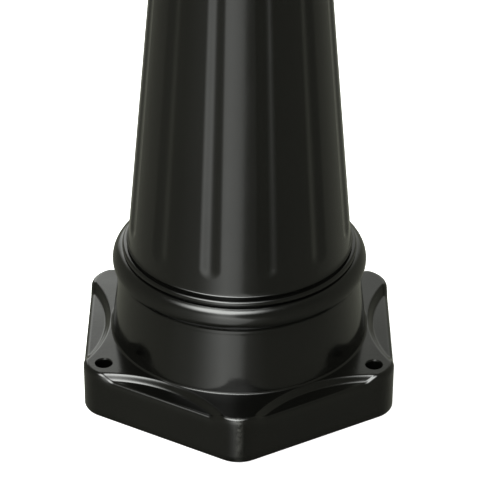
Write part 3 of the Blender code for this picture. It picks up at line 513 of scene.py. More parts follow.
def foot_casting(material):
    theta = np.arange(FOOT_AROUND) * TAU / FOOT_AROUND
    cos, sin = np.cos(theta), np.sin(theta)

    def ring(radius, z):
        radius = np.broadcast_to(radius, theta.shape)
        z = np.broadcast_to(z, theta.shape)
        return np.stack([radius * cos, radius * sin, z], axis=1)

    rows = []
    upper = [(TOP_HOLLOW_RADIUS, 0.0960), (0.0575, FOOT_TOP - 0.0002), (0.0719, FOOT_TOP - 0.0002),
             (SHOULDER_RADIUS, 0.0964), (SHOULDER_RADIUS, 0.0955), (0.0734, 0.0954)]
    upper += arc_points(RING_CENTRE, RING_SECTION, 88.0, -58.0, 14)
    upper += arc_points(TORUS_CENTRE, TORUS_SECTION, 78.0, -54.0, 40)
    upper += [(0.0786, 0.0770), (0.0784, 0.0763), (0.0784, 0.0757), (0.0787, 0.0749)]
    rows += [ring(r, z) for r, z in upper]
    low_z = 0.0400
    for z in np.linspace(0.0740, low_z, 30):
        rows.append(ring(drum_radius(z), z))
    # The fillet meets the pad or the ledge, whichever is there at that angle
    base_radius = drum_radius(0.0340) + FILLET
    base_z = top_height(base_radius * cos, base_radius * sin)
    for t in np.linspace(0.1, 1.0, 10):
        z = low_z + (base_z + FILLET - low_z) * t
        rows.append(ring(drum_radius(z), z))
    for angle in np.radians(np.linspace(12.0, 90.0, 10)):
        shift = FILLET * (1.0 - math.cos(angle))
        start = drum_radius(base_z + FILLET)
        rows.append(ring(start + shift * (base_radius - start) / FILLET,
                         base_z + FILLET * (1.0 - math.sin(angle))))
    edge = outline_radius(theta, TOP_EDGE_RADIUS)
    for t in np.linspace(0.0, 1.0, 62)[1:]:
        radius = base_radius + (edge - base_radius) * t
        rows.append(ring(radius, top_height(radius * cos, radius * sin)))
    top = top_height(edge * cos, edge * sin)
    for angle in np.radians(np.linspace(9.0, 90.0, 10)):
        inset = TOP_EDGE_RADIUS * (1.0 - math.sin(angle))
        rows.append(ring(outline_radius(theta, inset), top - TOP_EDGE_RADIUS * (1.0 - math.cos(angle))))
    wall = top - TOP_EDGE_RADIUS
    for t in np.linspace(0.0, 1.0, 9)[1:]:
        rows.append(ring(outline_radius(theta), wall + (0.0008 - wall) * t))
    rows.append(ring(outline_radius(theta, 0.0003), 0.0002))
    rows.append(ring(outline_radius(theta, 0.0008), 0.0))
    # Underside: a rim, a boss round each anchor hole, and the hollow up to the bridge
    boss = np.zeros_like(theta)
    for angle in ANCHOR_ANGLES:
        off = np.abs((np.degrees(theta) - angle + 180.0) % 360.0 - 180.0)
        boss = np.maximum(boss, smooth((9.0 - off) / 3.0))
    inner = outline_radius(theta, RIM_WIDTH) * (1.0 - boss) + 0.087 * boss
    bridge_low, bridge_high = BRIDGE_Z
    for radius, z in ((inner, 0.0), (inner, 0.0218), (0.0755, 0.0222), (0.0690, bridge_low),
                      (BRIDGE_HOLE_RADIUS, bridge_low), (BRIDGE_HOLE_RADIUS, bridge_high),
                      (UPPER_HOLLOW_RADIUS, bridge_high), (UPPER_HOLLOW_RADIUS, 0.0820),
                      (TOP_HOLLOW_RADIUS, 0.0900)):
        rows.append(ring(radius, z))
    foot = object_from_grid("foot_casting_finished", rows, True, material)
    cut_anchor_holes(foot, material)
    return foot


def cut_anchor_holes(foot, material):
    """One Boolean with three turned cutters, flared at the top so that the holes' edges are soft."""
    profile = [(0.0, -0.002), (ANCHOR_RADIUS, -0.002), (ANCHOR_RADIUS, PAD_Z - 0.0010),
               (ANCHOR_RADIUS + 0.00025, PAD_Z - 0.0005), (ANCHOR_RADIUS + 0.0008, PAD_Z + 0.0001),
               (ANCHOR_RADIUS + 0.0008, PAD_Z + 0.004), (0.0, PAD_Z + 0.004)]
    bm = bmesh.new()
    for angle in ANCHOR_ANGLES:
        x = ANCHOR_CIRCLE * math.cos(math.radians(angle))
        y = ANCHOR_CIRCLE * math.sin(math.radians(angle))
        points = [bm.verts.new((x + r, y, z)) for r, z in profile]
        edges = [bm.edges.new(pair) for pair in zip(points, points[1:])]
        bmesh.ops.spin(bm, geom=points + edges, cent=(x, y, 0.0), axis=(0.0, 0.0, 1.0),
                       dvec=(0.0, 0.0, 0.0), angle=TAU, steps=64)
    bmesh.ops.remove_doubles(bm, verts=bm.verts, dist=0.00001)
    bmesh.ops.recalc_face_normals(bm, faces=bm.faces)
    mesh = bpy.data.meshes.new("anchor_hole_cutters")
    bm.to_mesh(mesh)
    bm.free()
    mesh.materials.append(material)
    mesh.shade_smooth()
    cutter = bpy.data.objects.new("anchor_hole_cutters", mesh)
    bpy.context.scene.collection.objects.link(cutter)
    cut_by(foot, cutter)


# ---------------------------------------------------------------- column

COLUMN_BASE_RADIUS = 0.0721
COLUMN_TAPER = 0.0909
FLUTES = 12
FLUTE_Z = (0.1075, 0.425)
FLUTE_HALF_ANGLE = math.radians(6.3)
FLUTE_DEPTH = 0.0182                # as a share of the column's radius
COLUMN_SPIGOT = 0.0065              # how far the column reaches down into the foot
SPIGOT_RADIUS, SPIGOT_BORE = 0.0545, 0.0500
COVE_FLARE = 0.0010
COLUMN_AROUND = 1080


def column_radius(z):
    return COLUMN_BASE_RADIUS - COLUMN_TAPER * (z - FOOT_TOP)


def fluted_radius(theta, z):
    """Radius of the column's surface at a height. Each flute is a soft-edged trough with round ends."""
    land = column_radius(z)
    half_width = land * FLUTE_HALF_ANGLE
    low, high = FLUTE_Z[0] + half_width, FLUTE_Z[1] - half_width
    beyond = max(low - z, z - high, 0.0)
    pitch = TAU / FLUTES
    across = np.abs((theta % pitch) - pitch / 2) * land
    share = np.minimum(np.hypot(across, beyond) / half_width, 1.0)
    return land - FLUTE_DEPTH * land * np.cos(share * math.pi / 2) ** 2


def column_casting(material):
    theta = np.arange(COLUMN_AROUND) * TAU / COLUMN_AROUND
    cos, sin = np.cos(theta), np.sin(theta)
    base, top = COLUMN_LOW.z + COLUMN_SPIGOT, COLUMN_HIGH.z
    cove_radius = column_radius(base + 0.003)
    rows = []
    for radius, z in ((column_radius(top) - 0.006, top - 0.0005), (column_radius(top) - 0.0055, top)):
        rows.append(np.stack([radius * cos, radius * sin, np.full_like(theta, z)], 1))
    heights = list(np.linspace(top, FLUTE_Z[1] + 0.001, 6)[:-1])
    heights += list(np.linspace(FLUTE_Z[1] + 0.001, FLUTE_Z[1] - 0.006, 18)[:-1])
    heights += list(np.linspace(FLUTE_Z[1] - 0.006, FLUTE_Z[0] + 0.010, 60)[:-1])
    heights += list(np.linspace(FLUTE_Z[0] + 0.010, FLUTE_Z[0] - 0.001, 36))
    heights += [base + 0.0045, base + 0.0036]
    for z in heights:
        radius = fluted_radius(theta, z)
        rows.append(np.stack([radius * cos, radius * sin, np.full_like(theta, z)], 1))
    # A small cove flares the foot of the column
    for t in np.linspace(0.15, 1.0, 7):
        angle = t * math.pi / 2
        radius = cove_radius + COVE_FLARE * (1.0 - math.cos(angle))
        z = base + 0.0034 - 0.0026 * math.sin(angle)
        rows.append(np.stack([radius * cos, radius * sin, np.full_like(theta, z)], 1))
    edge = cove_radius + COVE_FLARE
    for radius, z in ((edge + 0.0002, base + 0.0005), (edge, base + 0.0001),
                      (SPIGOT_RADIUS, base + 0.0001), (SPIGOT_RADIUS, COLUMN_LOW.z),
                      (SPIGOT_BORE, COLUMN_LOW.z), (SPIGOT_BORE, base + 0.006), (0.0650, base + 0.006)):
        rows.append(np.stack([radius * cos, radius * sin, np.full_like(theta, z)], 1))
    return object_from_grid("column_casting_finished", rows, True, material)


# ---------------------------------------------------------------- turned and swept pieces

def whole(obj):
    """Outward normals all round, and sharp edges kept crisp."""
    bm = bmesh.new()
    bm.from_mesh(obj.data)
    bmesh.ops.remove_doubles(bm, verts=bm.verts, dist=0.000005)
    bmesh.ops.recalc_face_normals(bm, faces=bm.faces)
    bm.to_mesh(obj.data)
    bm.free()
    obj.data.set_sharp_from_angle(angle=SHARP_ANGLE)
    return obj


def lathe(name, profile, material, at=Matrix(), around=128, ring=True, radius_of=None):
    """A turned piece. A ring's (r, z) profile closes on itself; an open one is capped at both ends."""
    theta = np.arange(around) * TAU / around
    rows = []
    for radius, z in profile:
        r = radius_of(radius, theta) if radius_of else np.full_like(theta, radius)
        rows.append(np.stack([r * np.cos(theta), r * np.sin(theta), np.full_like(theta, z)], 1))
    obj = object_from_grid(name, rows, ring, material, caps=not ring)
    obj.data.transform(at)
    return whole(obj)


def soft(points, radius, sharp=()):
    """Every corner of a profile rounded by the same radius, apart from those listed."""
    return round_profile(points, {i: radius for i in range(len(points)) if i not in sharp})


def merge(first, *others):
    """One object of several shells."""
    bm = bmesh.new()
    for obj in (first, *others):
        bm.from_mesh(obj.data)
    bm.to_mesh(first.data)
    bm.free()
    for obj in others:
        bpy.data.objects.remove(obj, do_unlink=True)
    return first


def rod(name, radius, z_range, material, at=Matrix(), around=48, edge=0.0):
    low, high = z_range
    profile = [(0.00001, low), (radius - edge, low), (radius, low + edge), (radius, high - edge),
               (radius - edge, high), (0.00001, high)]
    return lathe(name, profile, material, at, around, ring=False)


def box_piece(name, low, high, material, at=Matrix(), edge=0.0008):
    """A block with rounded edges."""
    bm = bmesh.new()
    bmesh.ops.create_cube(bm, size=1.0)
    for vertex in bm.verts:
        vertex.co = Vector((low[i] if vertex.co[i] < 0 else high[i]) for i in range(3))
    bmesh.ops.bevel(bm, geom=bm.edges[:], offset=edge, segments=4, profile=0.5, affect="EDGES")
    mesh = bpy.data.meshes.new(name)
    bm.to_mesh(mesh)
    bm.free()
    mesh.transform(at)
    mesh.shade_smooth()
    mesh.materials.append(material)
    obj = bpy.data.objects.new(name, mesh)
    bpy.context.scene.collection.objects.link(obj)
    return obj


def eased_copy(node, material, edge):
    """The CAD piece with softened edges."""
    mesh = NODES[node].data.copy()
    mesh.materials.clear()
    mesh.materials.append(material)
    obj = bpy.data.objects.new(node + "_finished", mesh)
    bpy.context.scene.collection.objects.link(obj)
    obj.matrix_world = NODES[node].matrix_world.copy()
    bm = bmesh.new()
    bm.from_mesh(mesh)
    bmesh.ops.remove_doubles(bm, verts=bm.verts, dist=0.000005)
    bmesh.ops.dissolve_limit(bm, angle_limit=math.radians(1.0), verts=bm.verts, edges=bm.edges)
    bm.to_mesh(mesh)
    bm.free()
    bevel = obj.modifiers.new("edges", "BEVEL")
    bevel.width = edge
    bevel.segments = 2
    bevel.limit_method = "ANGLE"
    bevel.angle_limit = math.radians(34.0)
    bevel.use_clamp_overlap = True
    apply_modifiers(obj)
    obj.data.shade_smooth()
    obj.data.set_sharp_from_angle(angle=math.radians(40.0))
    return obj


# ---------------------------------------------------------------- pole, collars and finial

SPIGOT_LENGTH = 0.012
CABLE_BORE = 0.014
LOWER_SPIGOT, UPPER_SPIGOT = 0.0232, 0.0192
# Radius at the top, and bore. The radius at the foot comes from the frame
POLES = {"lower_pole": (0.027, 0.0235), "upper_pole": (0.024, 0.0195)}
CRADLE_RADIUS = 0.2062              # just clear of the case
SCROLL_HALF_LENGTH = 0.200
SCROLL_MIDDLE = (0.051, 1.675)      # from the axis, and height
SCROLL_HEADING = math.radians(68.0)
SCROLL_MIDDLE_CURVATURE, SCROLL_END_CURVATURE = 1.0 / 0.300, 1.0 / 0.016
SCROLL_BAR_RADIUS = 0.0050
SCROLL_TIP = 0.0030                 # the length over which the bar's end is rounded


def collar(name, moulding_of, spigot_below, spigot_above, edge, material):
    """A turned collar whose moulding is softened, with a crisp spigot at each end that needs one."""
    bottom, top = (corner.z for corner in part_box(name))
    low = bottom + SPIGOT_LENGTH
    high = top - SPIGOT_LENGTH if spigot_above else top
    above = [(CABLE_BORE, top), (spigot_above, top), (spigot_above, high)]
    profile = above if spigot_above else [(CABLE_BORE, high)]
    profile = profile + soft(moulding_of(low, high), edge)
    profile += [(spigot_below, low), (spigot_below, bottom), (CABLE_BORE, bottom)]
    return lathe(name + "_finished", profile, material)


def cone_moulding(low, high):
    bead = arc_points((0.0350, high - 0.0190), 0.0095, 65.0, -65.0, 24)
    return [(0.0315, high), (0.0345, high - 0.003), (0.0345, high - 0.007), *bead,
            (0.0450, low + 0.0120), (0.0450, low + 0.0070), (0.0421, low + 0.003), (0.0411, low)]


def middle_moulding(low, high):
    bead = arc_points((0.0290, high - 0.0190), 0.0090, 65.0, -65.0, 24)
    return [(0.0275, high), (0.0300, high - 0.003), (0.0300, high - 0.007), *bead,
            (0.0330, low + 0.009), (0.0330, low + 0.004), (0.0285, low)]


def capital_moulding(low, high):
    hollow = arc_points((0.0520, low + 0.0380), 0.0240, 135.0, 190.0, 24)
    return [(0.0370, high), (0.0370, high - 0.009), (0.0345, high - 0.012), *hollow,
            (0.0310, low + 0.020), (0.0310, low + 0.012), (0.0255, low + 0.006), (0.0255, low)]


def collars(material):
    yield collar("cone_collar", cone_moulding, 0.0338, LOWER_SPIGOT, 0.0010, material)
    yield collar("middle_collar", middle_moulding, LOWER_SPIGOT, UPPER_SPIGOT, 0.0010, material)
    yield collar("capital", capital_moulding, UPPER_SPIGOT, None, 0.0012, material)


def poles(material):
    for name, (narrow, bore) in POLES.items():
        bottom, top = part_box(name)
        wide, low, high = top.x, bottom.z, top.z
        profile = [(bore, high), (narrow - 0.0005, high), (narrow, high - 0.0006)]
        profile += [(narrow + (wide - narrow) * t, high + (low - high) * t)
                    for t in np.linspace(0, 1, 40)[1:-1]]
        profile += [(wide, low + 0.0006), (wide - 0.0005, low), (bore, low)]
        yield lathe(name + "_finished", profile, material)


def finial(material):
    low = FINIAL_LOW_Z
    stem = [(0.0001, low + 0.128), (0.0014, low + 0.1277), (0.0022, low + 0.1265),
            (0.0040, low + 0.112), (0.0062, low + 0.092), (0.0050, low + 0.086)]
    stem += arc_points((0.0, low + 0.0600), 0.0240, 76.0, -62.0, 48)
    stem += [(0.0090, low + 0.0330), (0.0110, low + 0.0290), (0.0170, low + 0.0240),
             (0.0170, low + 0.0190), (0.0105, low + 0.0150), (0.0140, low + 0.0080),
             (0.0230, low + 0.0040), (0.0230, low), (0.0001, low)]
    return lathe("finial_finished", soft(stem, 0.0010, (0, 1, 2)), material, ring=False)


def cradle_block(name, far_z, flare_z, narrow, half_length, half_depth, sign, hole, material):
    """A round block that widens to an ellipse and ends on the case's curve. sign is -1 below the case."""
    around = 192
    theta = np.arange(around) * TAU / around
    rim_z = np.full_like(theta, flare_z)

    def across(z):
        t = np.clip((z - far_z) / (flare_z - far_z), 0.0, 1.0)
        t = t - 0.06 * np.sin(TAU * t)
        return ((narrow + (half_length - narrow) * t) * np.cos(theta),
                (narrow + (half_depth - narrow) * t) * np.sin(theta))

    for _ in range(24):
        rim_x = across(rim_z)[0]
        rim_z = HEAD_Z + sign * np.sqrt(CRADLE_RADIUS ** 2 - rim_x ** 2)
    rows = [np.stack([hole * np.cos(theta), hole * np.sin(theta), np.full_like(theta, far_z)], 1)]
    for inset, t in ((0.0014, 0.0), (0.0004, 0.0), (0.0, 0.012)):
        z = far_z + (flare_z - far_z) * t
        x, y = across(np.full_like(theta, z))
        scale = 1.0 - inset / narrow
        rows.append(np.stack([x * scale, y * scale, np.full_like(theta, z)], 1))
    for t in np.linspace(0.04, 0.985, 28):
        z = far_z + (rim_z - far_z) * t
        x, y = across(z)
        rows.append(np.stack([x, y, z], 1))
    x, y = across(rim_z)
    for share in (0.992, *np.linspace(0.95, 0.0, 20)[:-1]):
        px = x * share + (1.0 - share) * hole * np.cos(theta)
        py = y * share + (1.0 - share) * hole * np.sin(theta)
        rows.append(np.stack([px, py, HEAD_Z + sign * np.sqrt(CRADLE_RADIUS ** 2 - px ** 2)], 1))
    px, py = hole * np.cos(theta), hole * np.sin(theta)
    rows.append(np.stack([px, py, HEAD_Z + sign * np.sqrt(CRADLE_RADIUS ** 2 - px ** 2)], 1))
    return whole(object_from_grid(name, rows, True, material))


def scroll(name, side, material):
    """A round bar bent so that it curls ever more tightly toward both ends."""
    steps, around = 260, 24
    half = SCROLL_HALF_LENGTH
    middle_heading, middle, end = SCROLL_HEADING, SCROLL_MIDDLE_CURVATURE, SCROLL_END_CURVATURE
    along = (np.arange(steps) + 0.5 - steps / 2) * 2.0 * half / steps
    heading = middle_heading - (middle + (end - middle) * (np.abs(along) / half) ** 3 / 4.0) * along
    step = 2.0 * half / steps
    x = np.concatenate([[0.0], np.cumsum(np.cos(heading) * step)])
    z = np.concatenate([[0.0], np.cumsum(np.sin(heading) * step)])
    x += SCROLL_MIDDLE[0] - x[steps // 2]
    z += SCROLL_MIDDLE[1] - z[steps // 2]
    angle = np.concatenate([heading[:1], (heading[1:] + heading[:-1]) / 2, heading[-1:]])
    theta = np.arange(around) * TAU / around
    rows = []
    for i in range(steps + 1):
        reach = min(i, steps - i) * step
        radius = SCROLL_BAR_RADIUS * math.sqrt(1.0 - max(1.0 - reach / SCROLL_TIP, 0.0) ** 2 * 0.8)
        out = radius * np.cos(theta)
        rows.append(np.stack([side * (x[i] - out * math.sin(angle[i])), radius * np.sin(theta),
                              z[i] + out * math.cos(angle[i])], 1))
    return whole(object_from_grid(name + "_finished", rows, False, material, caps=True))


# ---------------------------------------------------------------- head: case, doors, dials, hands

HEAD_AROUND = 288
MARKS_Z = (0.0402, 0.0405)          # a coat of black that starts just inside the dial's face
NUMERAL_CENTRE, NUMERAL_HEIGHT = 0.1330, 0.0350
NUMERAL_WIDTHS = {"I": 0.0092, "V": 0.0190, "X": 0.0190}
NUMERALS = ("XII", "I", "II", "III", "IIII", "V", "VI", "VII", "VIII", "IX", "X", "XI")
THICK_STROKE, THIN_STROKE, SERIF = 0.0046, 0.0016, 0.0012
TRACK = (0.1610, 0.1690)            # from and to, of the minute strokes
HOUR_MARK, MINUTE_MARK = 0.0036, 0.0012
TRACK_RINGS = ((0.1598, 0.0012), (0.1690, 0.0012), (0.1080, 0.0008))   # inner radius, width
DIAL_SCREW_CIRCLE = 0.1735
# Outlines of the hands: half width, distance from the centre
HOUR_HAND = ((0.0030, -0.026), (0.0042, -0.022), (0.0034, -0.012), (0.0038, 0.010), (0.0026, 0.060),
             (0.0060, 0.066), (0.0092, 0.076), (0.0070, 0.087), (0.0026, 0.098), (0.0, 0.112))
MINUTE_HAND = ((0.0034, -0.040), (0.0046, -0.034), (0.0028, -0.016), (0.0030, 0.010), (0.0022, 0.100),
               (0.0046, 0.107), (0.0060, 0.116), (0.0044, 0.126), (0.0017, 0.136), (0.0, 0.160))
HOUR_HAND_Z, MINUTE_HAND_Z = (0.0442, 0.0454), (0.0470, 0.0482)
HOUR_HAND_TURN, MINUTE_HAND_TURN = -305.0, -60.0


def case(material):
    half = [(0.1990, 0.0450), (0.2085, 0.0450), (0.2105, 0.0430), (0.2105, 0.0400), (0.2080, 0.0385),
            (0.2055, 0.0365), (0.2050, 0.0340)]
    profile = soft(half, 0.0006, (0,)) + [(0.2050, 0.0)]
    profile += [(r, -z) for r, z in reversed(profile[:-1])]
    profile += [(0.1990, -0.0380), (0.1780, -0.0380), (0.1780, -0.0340), (0.1990, -0.0340),
                (0.1990, 0.0340), (0.1780, 0.0340), (0.1780, 0.0380), (0.1990, 0.0380)]
    ring = lathe("case_ring_finished", profile, material, DIALS["front"], HEAD_AROUND)
    hole = rod("case_hole", 0.0113, (HEAD_Z - 0.23, HEAD_Z - 0.18), material)
    return cut_by(ring, hole)


def hinge_axis(side):
    at = DIALS[side] @ Matrix.Translation((HINGE_X, 0.0, HINGE_Z))
    return at @ Matrix.Rotation(math.radians(-90.0), 4, "X")


def bezel(side, material):
    at = DIALS[side]
    profile = [(0.1760, 0.0600), (0.1760, 0.0650), (0.1810, 0.0700), (0.1855, 0.0726), (0.1900, 0.0730),
               (0.1990, 0.0700), (0.2035, 0.0672), (0.2080, 0.0630), (0.2104, 0.0580), (0.2120, 0.0530),
               (0.2120, 0.0453), (0.1875, 0.0453), (0.1875, 0.0600)]
    ring = lathe(side + "_bezel_finished", soft(profile, 0.0007, (0, 11, 12)), material, at, HEAD_AROUND)
    knuckle = lathe("knuckle", soft([(0.0027, -0.0097), (0.0050, -0.0097), (0.0050, 0.0097),
                                     (0.0027, 0.0097)], 0.0005, (0, 3)), material, hinge_axis(side), 48)
    arm = box_piece("arm", (0.203, -0.0097, 0.0453), (HINGE_X, 0.0097, 0.0505), material, at, 0.0006)
    lug = box_piece("lug", (-0.226, -0.008, 0.0453), (-0.203, 0.008, 0.0530), material, at, 0.0014)
    return merge(ring, knuckle, arm, lug)


def glass(side, material):
    profile = [(0.0001, 0.0597), (0.1862, 0.0597), (0.1868, 0.0591), (0.1868, 0.0573), (0.1862, 0.0567),
               (0.0001, 0.0567)]
    return lathe(side + "_glass_finished", profile, material, DIALS[side], HEAD_AROUND, ring=False)


def gasket(side, material):
    profile = [(0.1785, 0.0520), (0.1785, 0.0560), (0.1795, 0.0564), (0.1869, 0.0564), (0.1869, 0.0520)]
    return lathe(side + "_glass_gasket_finished", profile, material, DIALS[side], HEAD_AROUND)


def dial(side, material):
    profile = [(0.0080, 0.0400), (0.0084, 0.0403), (0.1885, 0.0403), (0.1890, 0.0400), (0.1890, 0.0383),
               (0.0080, 0.0383)]
    return lathe(side + "_dial_finished", profile, material, DIALS[side], HEAD_AROUND)


def bar(start, end, width):
    """The corners of a straight stroke."""
    start, end = Vector(start), Vector(end)
    out = (end - start).orthogonal().normalized() * width / 2
    return [start - out, end - out, end + out, start + out]


def numeral_strokes(text):
    """Strokes of a Roman numeral centred on the origin, with serifs. Thick and thin strokes."""
    tall, side_room, serif_half = NUMERAL_HEIGHT / 2, 0.0036, 0.0040
    x = -sum(NUMERAL_WIDTHS[letter] for letter in text) / 2
    strokes = []
    for letter in text:
        width = NUMERAL_WIDTHS[letter]
        mid, left, right = x + width / 2, x + side_room, x + width - side_room
        if letter == "I":
            strokes.append(bar((mid, -tall), (mid, tall), THICK_STROKE))
            serifs = [(mid, -tall), (mid, tall)]
        elif letter == "V":
            strokes.append(bar((left, tall), (mid, -tall), THICK_STROKE))
            strokes.append(bar((right, tall), (mid, -tall), THIN_STROKE))
            serifs = [(left, tall), (right, tall)]
        else:
            strokes.append(bar((left, tall), (right, -tall), THICK_STROKE))
            strokes.append(bar((right, tall), (left, -tall), THIN_STROKE))
            serifs = [(left, tall), (right, tall), (left, -tall), (right, -tall)]
        for sx, sy in serifs:
            strokes.append(bar((sx - serif_half, sy), (sx + serif_half, sy), SERIF))
        x += width
    return strokes


def dial_marks(side, material):
    """The minute track and the numerals, a raised coat of black on the dial."""
    low, high = MARKS_Z
    vertices, faces, shapes = [], [], []
    for minute in range(60):
        turn = Matrix.Rotation(-math.radians(6.0 * minute), 2)
        width = HOUR_MARK if minute % 5 == 0 else MINUTE_MARK
        stroke = bar((0.0, TRACK[0]), (0.0, TRACK[1]), width)
        shapes.append([turn @ point for point in stroke])
    for hour, text in enumerate(NUMERALS):
        turn = Matrix.Rotation(-math.radians(30.0 * hour), 2)
        for stroke in numeral_strokes(text):
            shapes.append([turn @ (point + Vector((0.0, NUMERAL_CENTRE))) for point in stroke])
    for shape in shapes:
        first = len(vertices)
        vertices += [(x, y, low) for x, y in shape] + [(x, y, high) for x, y in shape]
        faces += [tuple(first + k for k in face) for face in
                  ((3, 2, 1, 0), (4, 5, 6, 7), (0, 1, 5, 4), (1, 2, 6, 5), (2, 3, 7, 6), (3, 0, 4, 7))]
    mesh = bpy.data.meshes.new(side + "_dial_marks")
    mesh.from_pydata(vertices, [], faces)
    mesh.transform(DIALS[side])
    mesh.materials.append(material)
    marks = bpy.data.objects.new(side + "_dial_marks", mesh)
    bpy.context.scene.collection.objects.link(marks)
    whole(marks)
    rings = [lathe("track", [(r, low), (r, high), (r + w, high), (r + w, low)], material, DIALS[side], 240)
             for r, w in TRACK_RINGS]
    return merge(marks, *rings)


def dial_screws(side, material):
    """Four slotted screws that hold the dial, just inside the bezel's sight edge."""
    screws = []
    for quarter in range(4):
        angle = math.radians(45.0 + 90.0 * quarter)
        place = Vector((math.cos(angle), math.sin(angle), 0.0)) * DIAL_SCREW_CIRCLE
        at = DIALS[side] @ Matrix.Translation(place)
        head = rod("screw", 0.0022, (0.0402, 0.0413), material, at, 32, 0.0004)
        slot = box_piece("slot", (-0.003, -0.0003, 0.0409), (0.003, 0.0003, 0.0430), material, at, 0.0001)
        screws.append(cut_by(head, slot))
    screws[0].name = side + "_dial_screws"
    return merge(*screws)


def hand(side, kind, profile, hub, bore, z_range, turned_by, material):
    """A flat hand with a smooth outline, a hub and a bore."""
    low, high = z_range
    distances = np.linspace(profile[0][1], profile[-1][1], 150)
    known = [y for _, y in profile]
    widths = np.interp(distances, known, [w for w, _ in profile])
    kernel = np.ones(7) / 7
    smoothed = np.convolve(np.pad(widths, 3, mode="edge"), kernel, "valid")
    smoothed[0], smoothed[-1] = widths[0] * 0.6, 0.0002
    rows = []
    for w, y in zip(smoothed, distances):
        edge = min(0.0003, w * 0.4)
        section = [(-w, low), (-w, high - edge), (-w + edge, high), (w - edge, high), (w, high - edge),
                   (w, low)]
        rows.append([(x, y, z) for x, z in section])
    blade = whole(object_from_grid(side + "_" + kind + "_finished", rows, False, material, caps=True))
    disc = rod("hub", hub, (low, high), material, around=64, edge=0.0003)
    at = DIALS[side] @ Matrix.Rotation(math.radians(turned_by), 4, "Z")
    for piece in (blade, disc):
        cut_by(piece, rod("bore", bore, (low - 0.002, high + 0.002), material))
        piece.data.transform(at)
    return merge(blade, disc)


def knurled(beyond, depth, ridges, sharpness):
    """A knurl cut into a turned piece wherever its radius is over a limit."""
    def radius_of(radius, theta):
        cut = depth if radius > beyond else 0.0
        return radius - cut * (0.5 + 0.5 * np.cos(ridges * theta)) ** sharpness

    return radius_of


def hand_nut(side, material):
    seat = 0.0485
    profile = soft([(0.0001, seat + 0.0042), (0.0034, seat + 0.0038), (0.0054, seat + 0.0022),
                    (0.0054, seat), (0.0027, seat), (0.0027, seat + 0.0013), (0.0001, seat + 0.0013)],
                   0.0004, (0, 4, 5, 6))
    return lathe(side + "_hand_nut_finished", profile, material, DIALS[side], 216, False,
                 knurled(0.0050, 0.00012, 36, 1))


def thumb_screw(side, material):
    seat = 0.0533
    profile = [(0.0001, seat + 0.0110), (0.0052, seat + 0.0110), (0.0066, seat + 0.0102),
               (0.0070, seat + 0.0095), (0.0070, seat + 0.0028), (0.0064, seat + 0.0020),
               (0.0045, seat + 0.0015), (0.0045, seat), (0.0021, seat), (0.0021, 0.0370)]
    for i in range(9):
        z = 0.0370 - i * 0.0004
        profile += [(0.0028, z - 0.0001), (0.0024, z - 0.0003)]
    profile += [(0.0020, 0.0335), (0.0001, 0.0335)]
    at = DIALS[side] @ Matrix.Translation((LATCH_X, 0.0, 0.0))
    return lathe(side + "_thumb_screw_finished", profile, material, at, 240, False,
                 knurled(0.0060, 0.0004, 30, 2))


def hinge_pin(side, material):
    profile = [(0.0001, 0.0336), (0.0016, 0.0333), (0.0029, 0.0326), (0.0034, 0.0318), (0.0034, 0.0303),
               (0.0023, 0.0303), (0.0023, -0.0296), (0.0019, -0.0300), (0.0001, -0.0300)]
    return lathe(side + "_hinge_pin_finished", profile, material, hinge_axis(side), 48, False)


# ---------------------------------------------------------------- assembly

BODY_OF = {node: body for body, nodes in frame["record"]["behaviour"]["bodies"].items() for node in nodes}

# CAD nodes shown as a copy with softened edges: slot, and width of the edge
SOFTENED = (("tie_tube", "plated_steel", 0.0004), ("foot_washer", "plated_steel", 0.0003),
            ("foot_nut", "plated_steel", 0.0006), ("head_clamp", "plated_steel", 0.0008),
            ("head_nut", "plated_steel", 0.0006), ("cable_gland", "black_rubber", 0.0005))
SOFTENED_ON_EACH_SIDE = (
    ("hinge_leaf", "painted_casting", 0.0006), ("latch_lug", "painted_casting", 0.0010),
    ("dial_nut", "brass", 0.0003), ("minute_arbor", "plated_steel", 0.0001),
    ("minute_wheel", "brass", 0.0001), ("hour_wheel", "brass", 0.0001),
    ("wheel_post", "plated_steel", 0.0001), ("movement_plate", "brass", 0.0002),
    ("movement_case", "grey_plastic", 0.0006), ("motor", "grey_plastic", 0.0004))


def finish_as(obj, node, slot):
    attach(obj, BODY_OF[node])
    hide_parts(node)


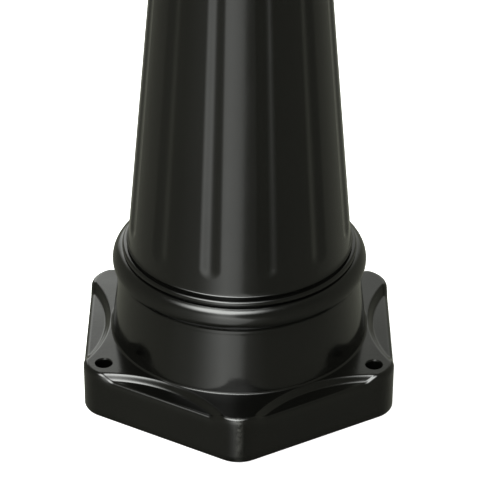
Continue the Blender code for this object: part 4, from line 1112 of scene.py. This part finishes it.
make_stage()
PAINT = painted_material()
BRASS = brass_material()
STEEL = steel_material()
IVORY = dial_material()
GLASS = glass_material()
HAND_BLACK = dull_material("satin_black_enamel", (0.006, 0.006, 0.006), (0.011, 0.011, 0.010), 0.32, 900.0)
RUBBER = dull_material("black_rubber", (0.012, 0.012, 0.012), (0.022, 0.021, 0.020), 0.72, 1400.0)
PLASTIC = dull_material("grey_plastic", (0.055, 0.056, 0.060), (0.075, 0.076, 0.080), 0.52, 1100.0)
FINISHES = {"painted_casting": PAINT, "brass": BRASS, "plated_steel": STEEL, "black_rubber": RUBBER,
            "grey_plastic": PLASTIC}

finish_as(foot_casting(PAINT), "foot_casting", "painted_casting")
finish_as(column_casting(PAINT), "column_casting", "painted_casting")
for piece in (*collars(PAINT), *poles(PAINT), finial(PAINT), case(PAINT),
              scroll("scroll_right", 1.0, PAINT), scroll("scroll_left", -1.0, PAINT),
              cradle_block("head_saddle_finished", SADDLE_LOW_Z, SADDLE_LOW_Z + 0.052, 0.036, 0.064, 0.036,
                           -1.0, 0.0113, PAINT),
              cradle_block("finial_base_finished", BASE_TOP_Z, BASE_TOP_Z - 0.034, 0.026, 0.050, 0.032,
                           1.0, 0.0040, PAINT)):
    finish_as(piece, piece.name.replace("_finished", ""), "painted_casting")
for side in ("front", "back"):
    finish_as(bezel(side, PAINT), side + "_bezel", "painted_casting")
    finish_as(glass(side, GLASS), side + "_glass", "clear_glass")
    finish_as(gasket(side, RUBBER), side + "_glass_gasket", "black_rubber")
    finish_as(dial(side, IVORY), side + "_dial", "ivory_dial")
    for kind, outline, hub, bore, z_range, turned_by in (
            ("hour_hand", HOUR_HAND, 0.0095, 0.0053, HOUR_HAND_Z, HOUR_HAND_TURN),
            ("minute_hand", MINUTE_HAND, 0.0080, 0.0027, MINUTE_HAND_Z, MINUTE_HAND_TURN)):
        finish_as(hand(side, kind, outline, hub, bore, z_range, turned_by, HAND_BLACK),
                  side + "_" + kind, "black_hand")
    finish_as(hand_nut(side, BRASS), side + "_hand_nut", "brass")
    finish_as(thumb_screw(side, BRASS), side + "_thumb_screw", "brass")
    finish_as(hinge_pin(side, STEEL), side + "_hinge_pin", "plated_steel")
    for extra, slot in ((dial_marks(side, HAND_BLACK), "black_hand"), (dial_screws(side, BRASS), "brass")):
        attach(extra, "clock")
    for node, slot, edge in SOFTENED_ON_EACH_SIDE:
        finish_as(eased_copy(side + "_" + node, FINISHES[slot], edge), side + "_" + node, slot)
for node, slot, edge in SOFTENED:
    finish_as(eased_copy(node, FINISHES[slot], edge), node, slot)
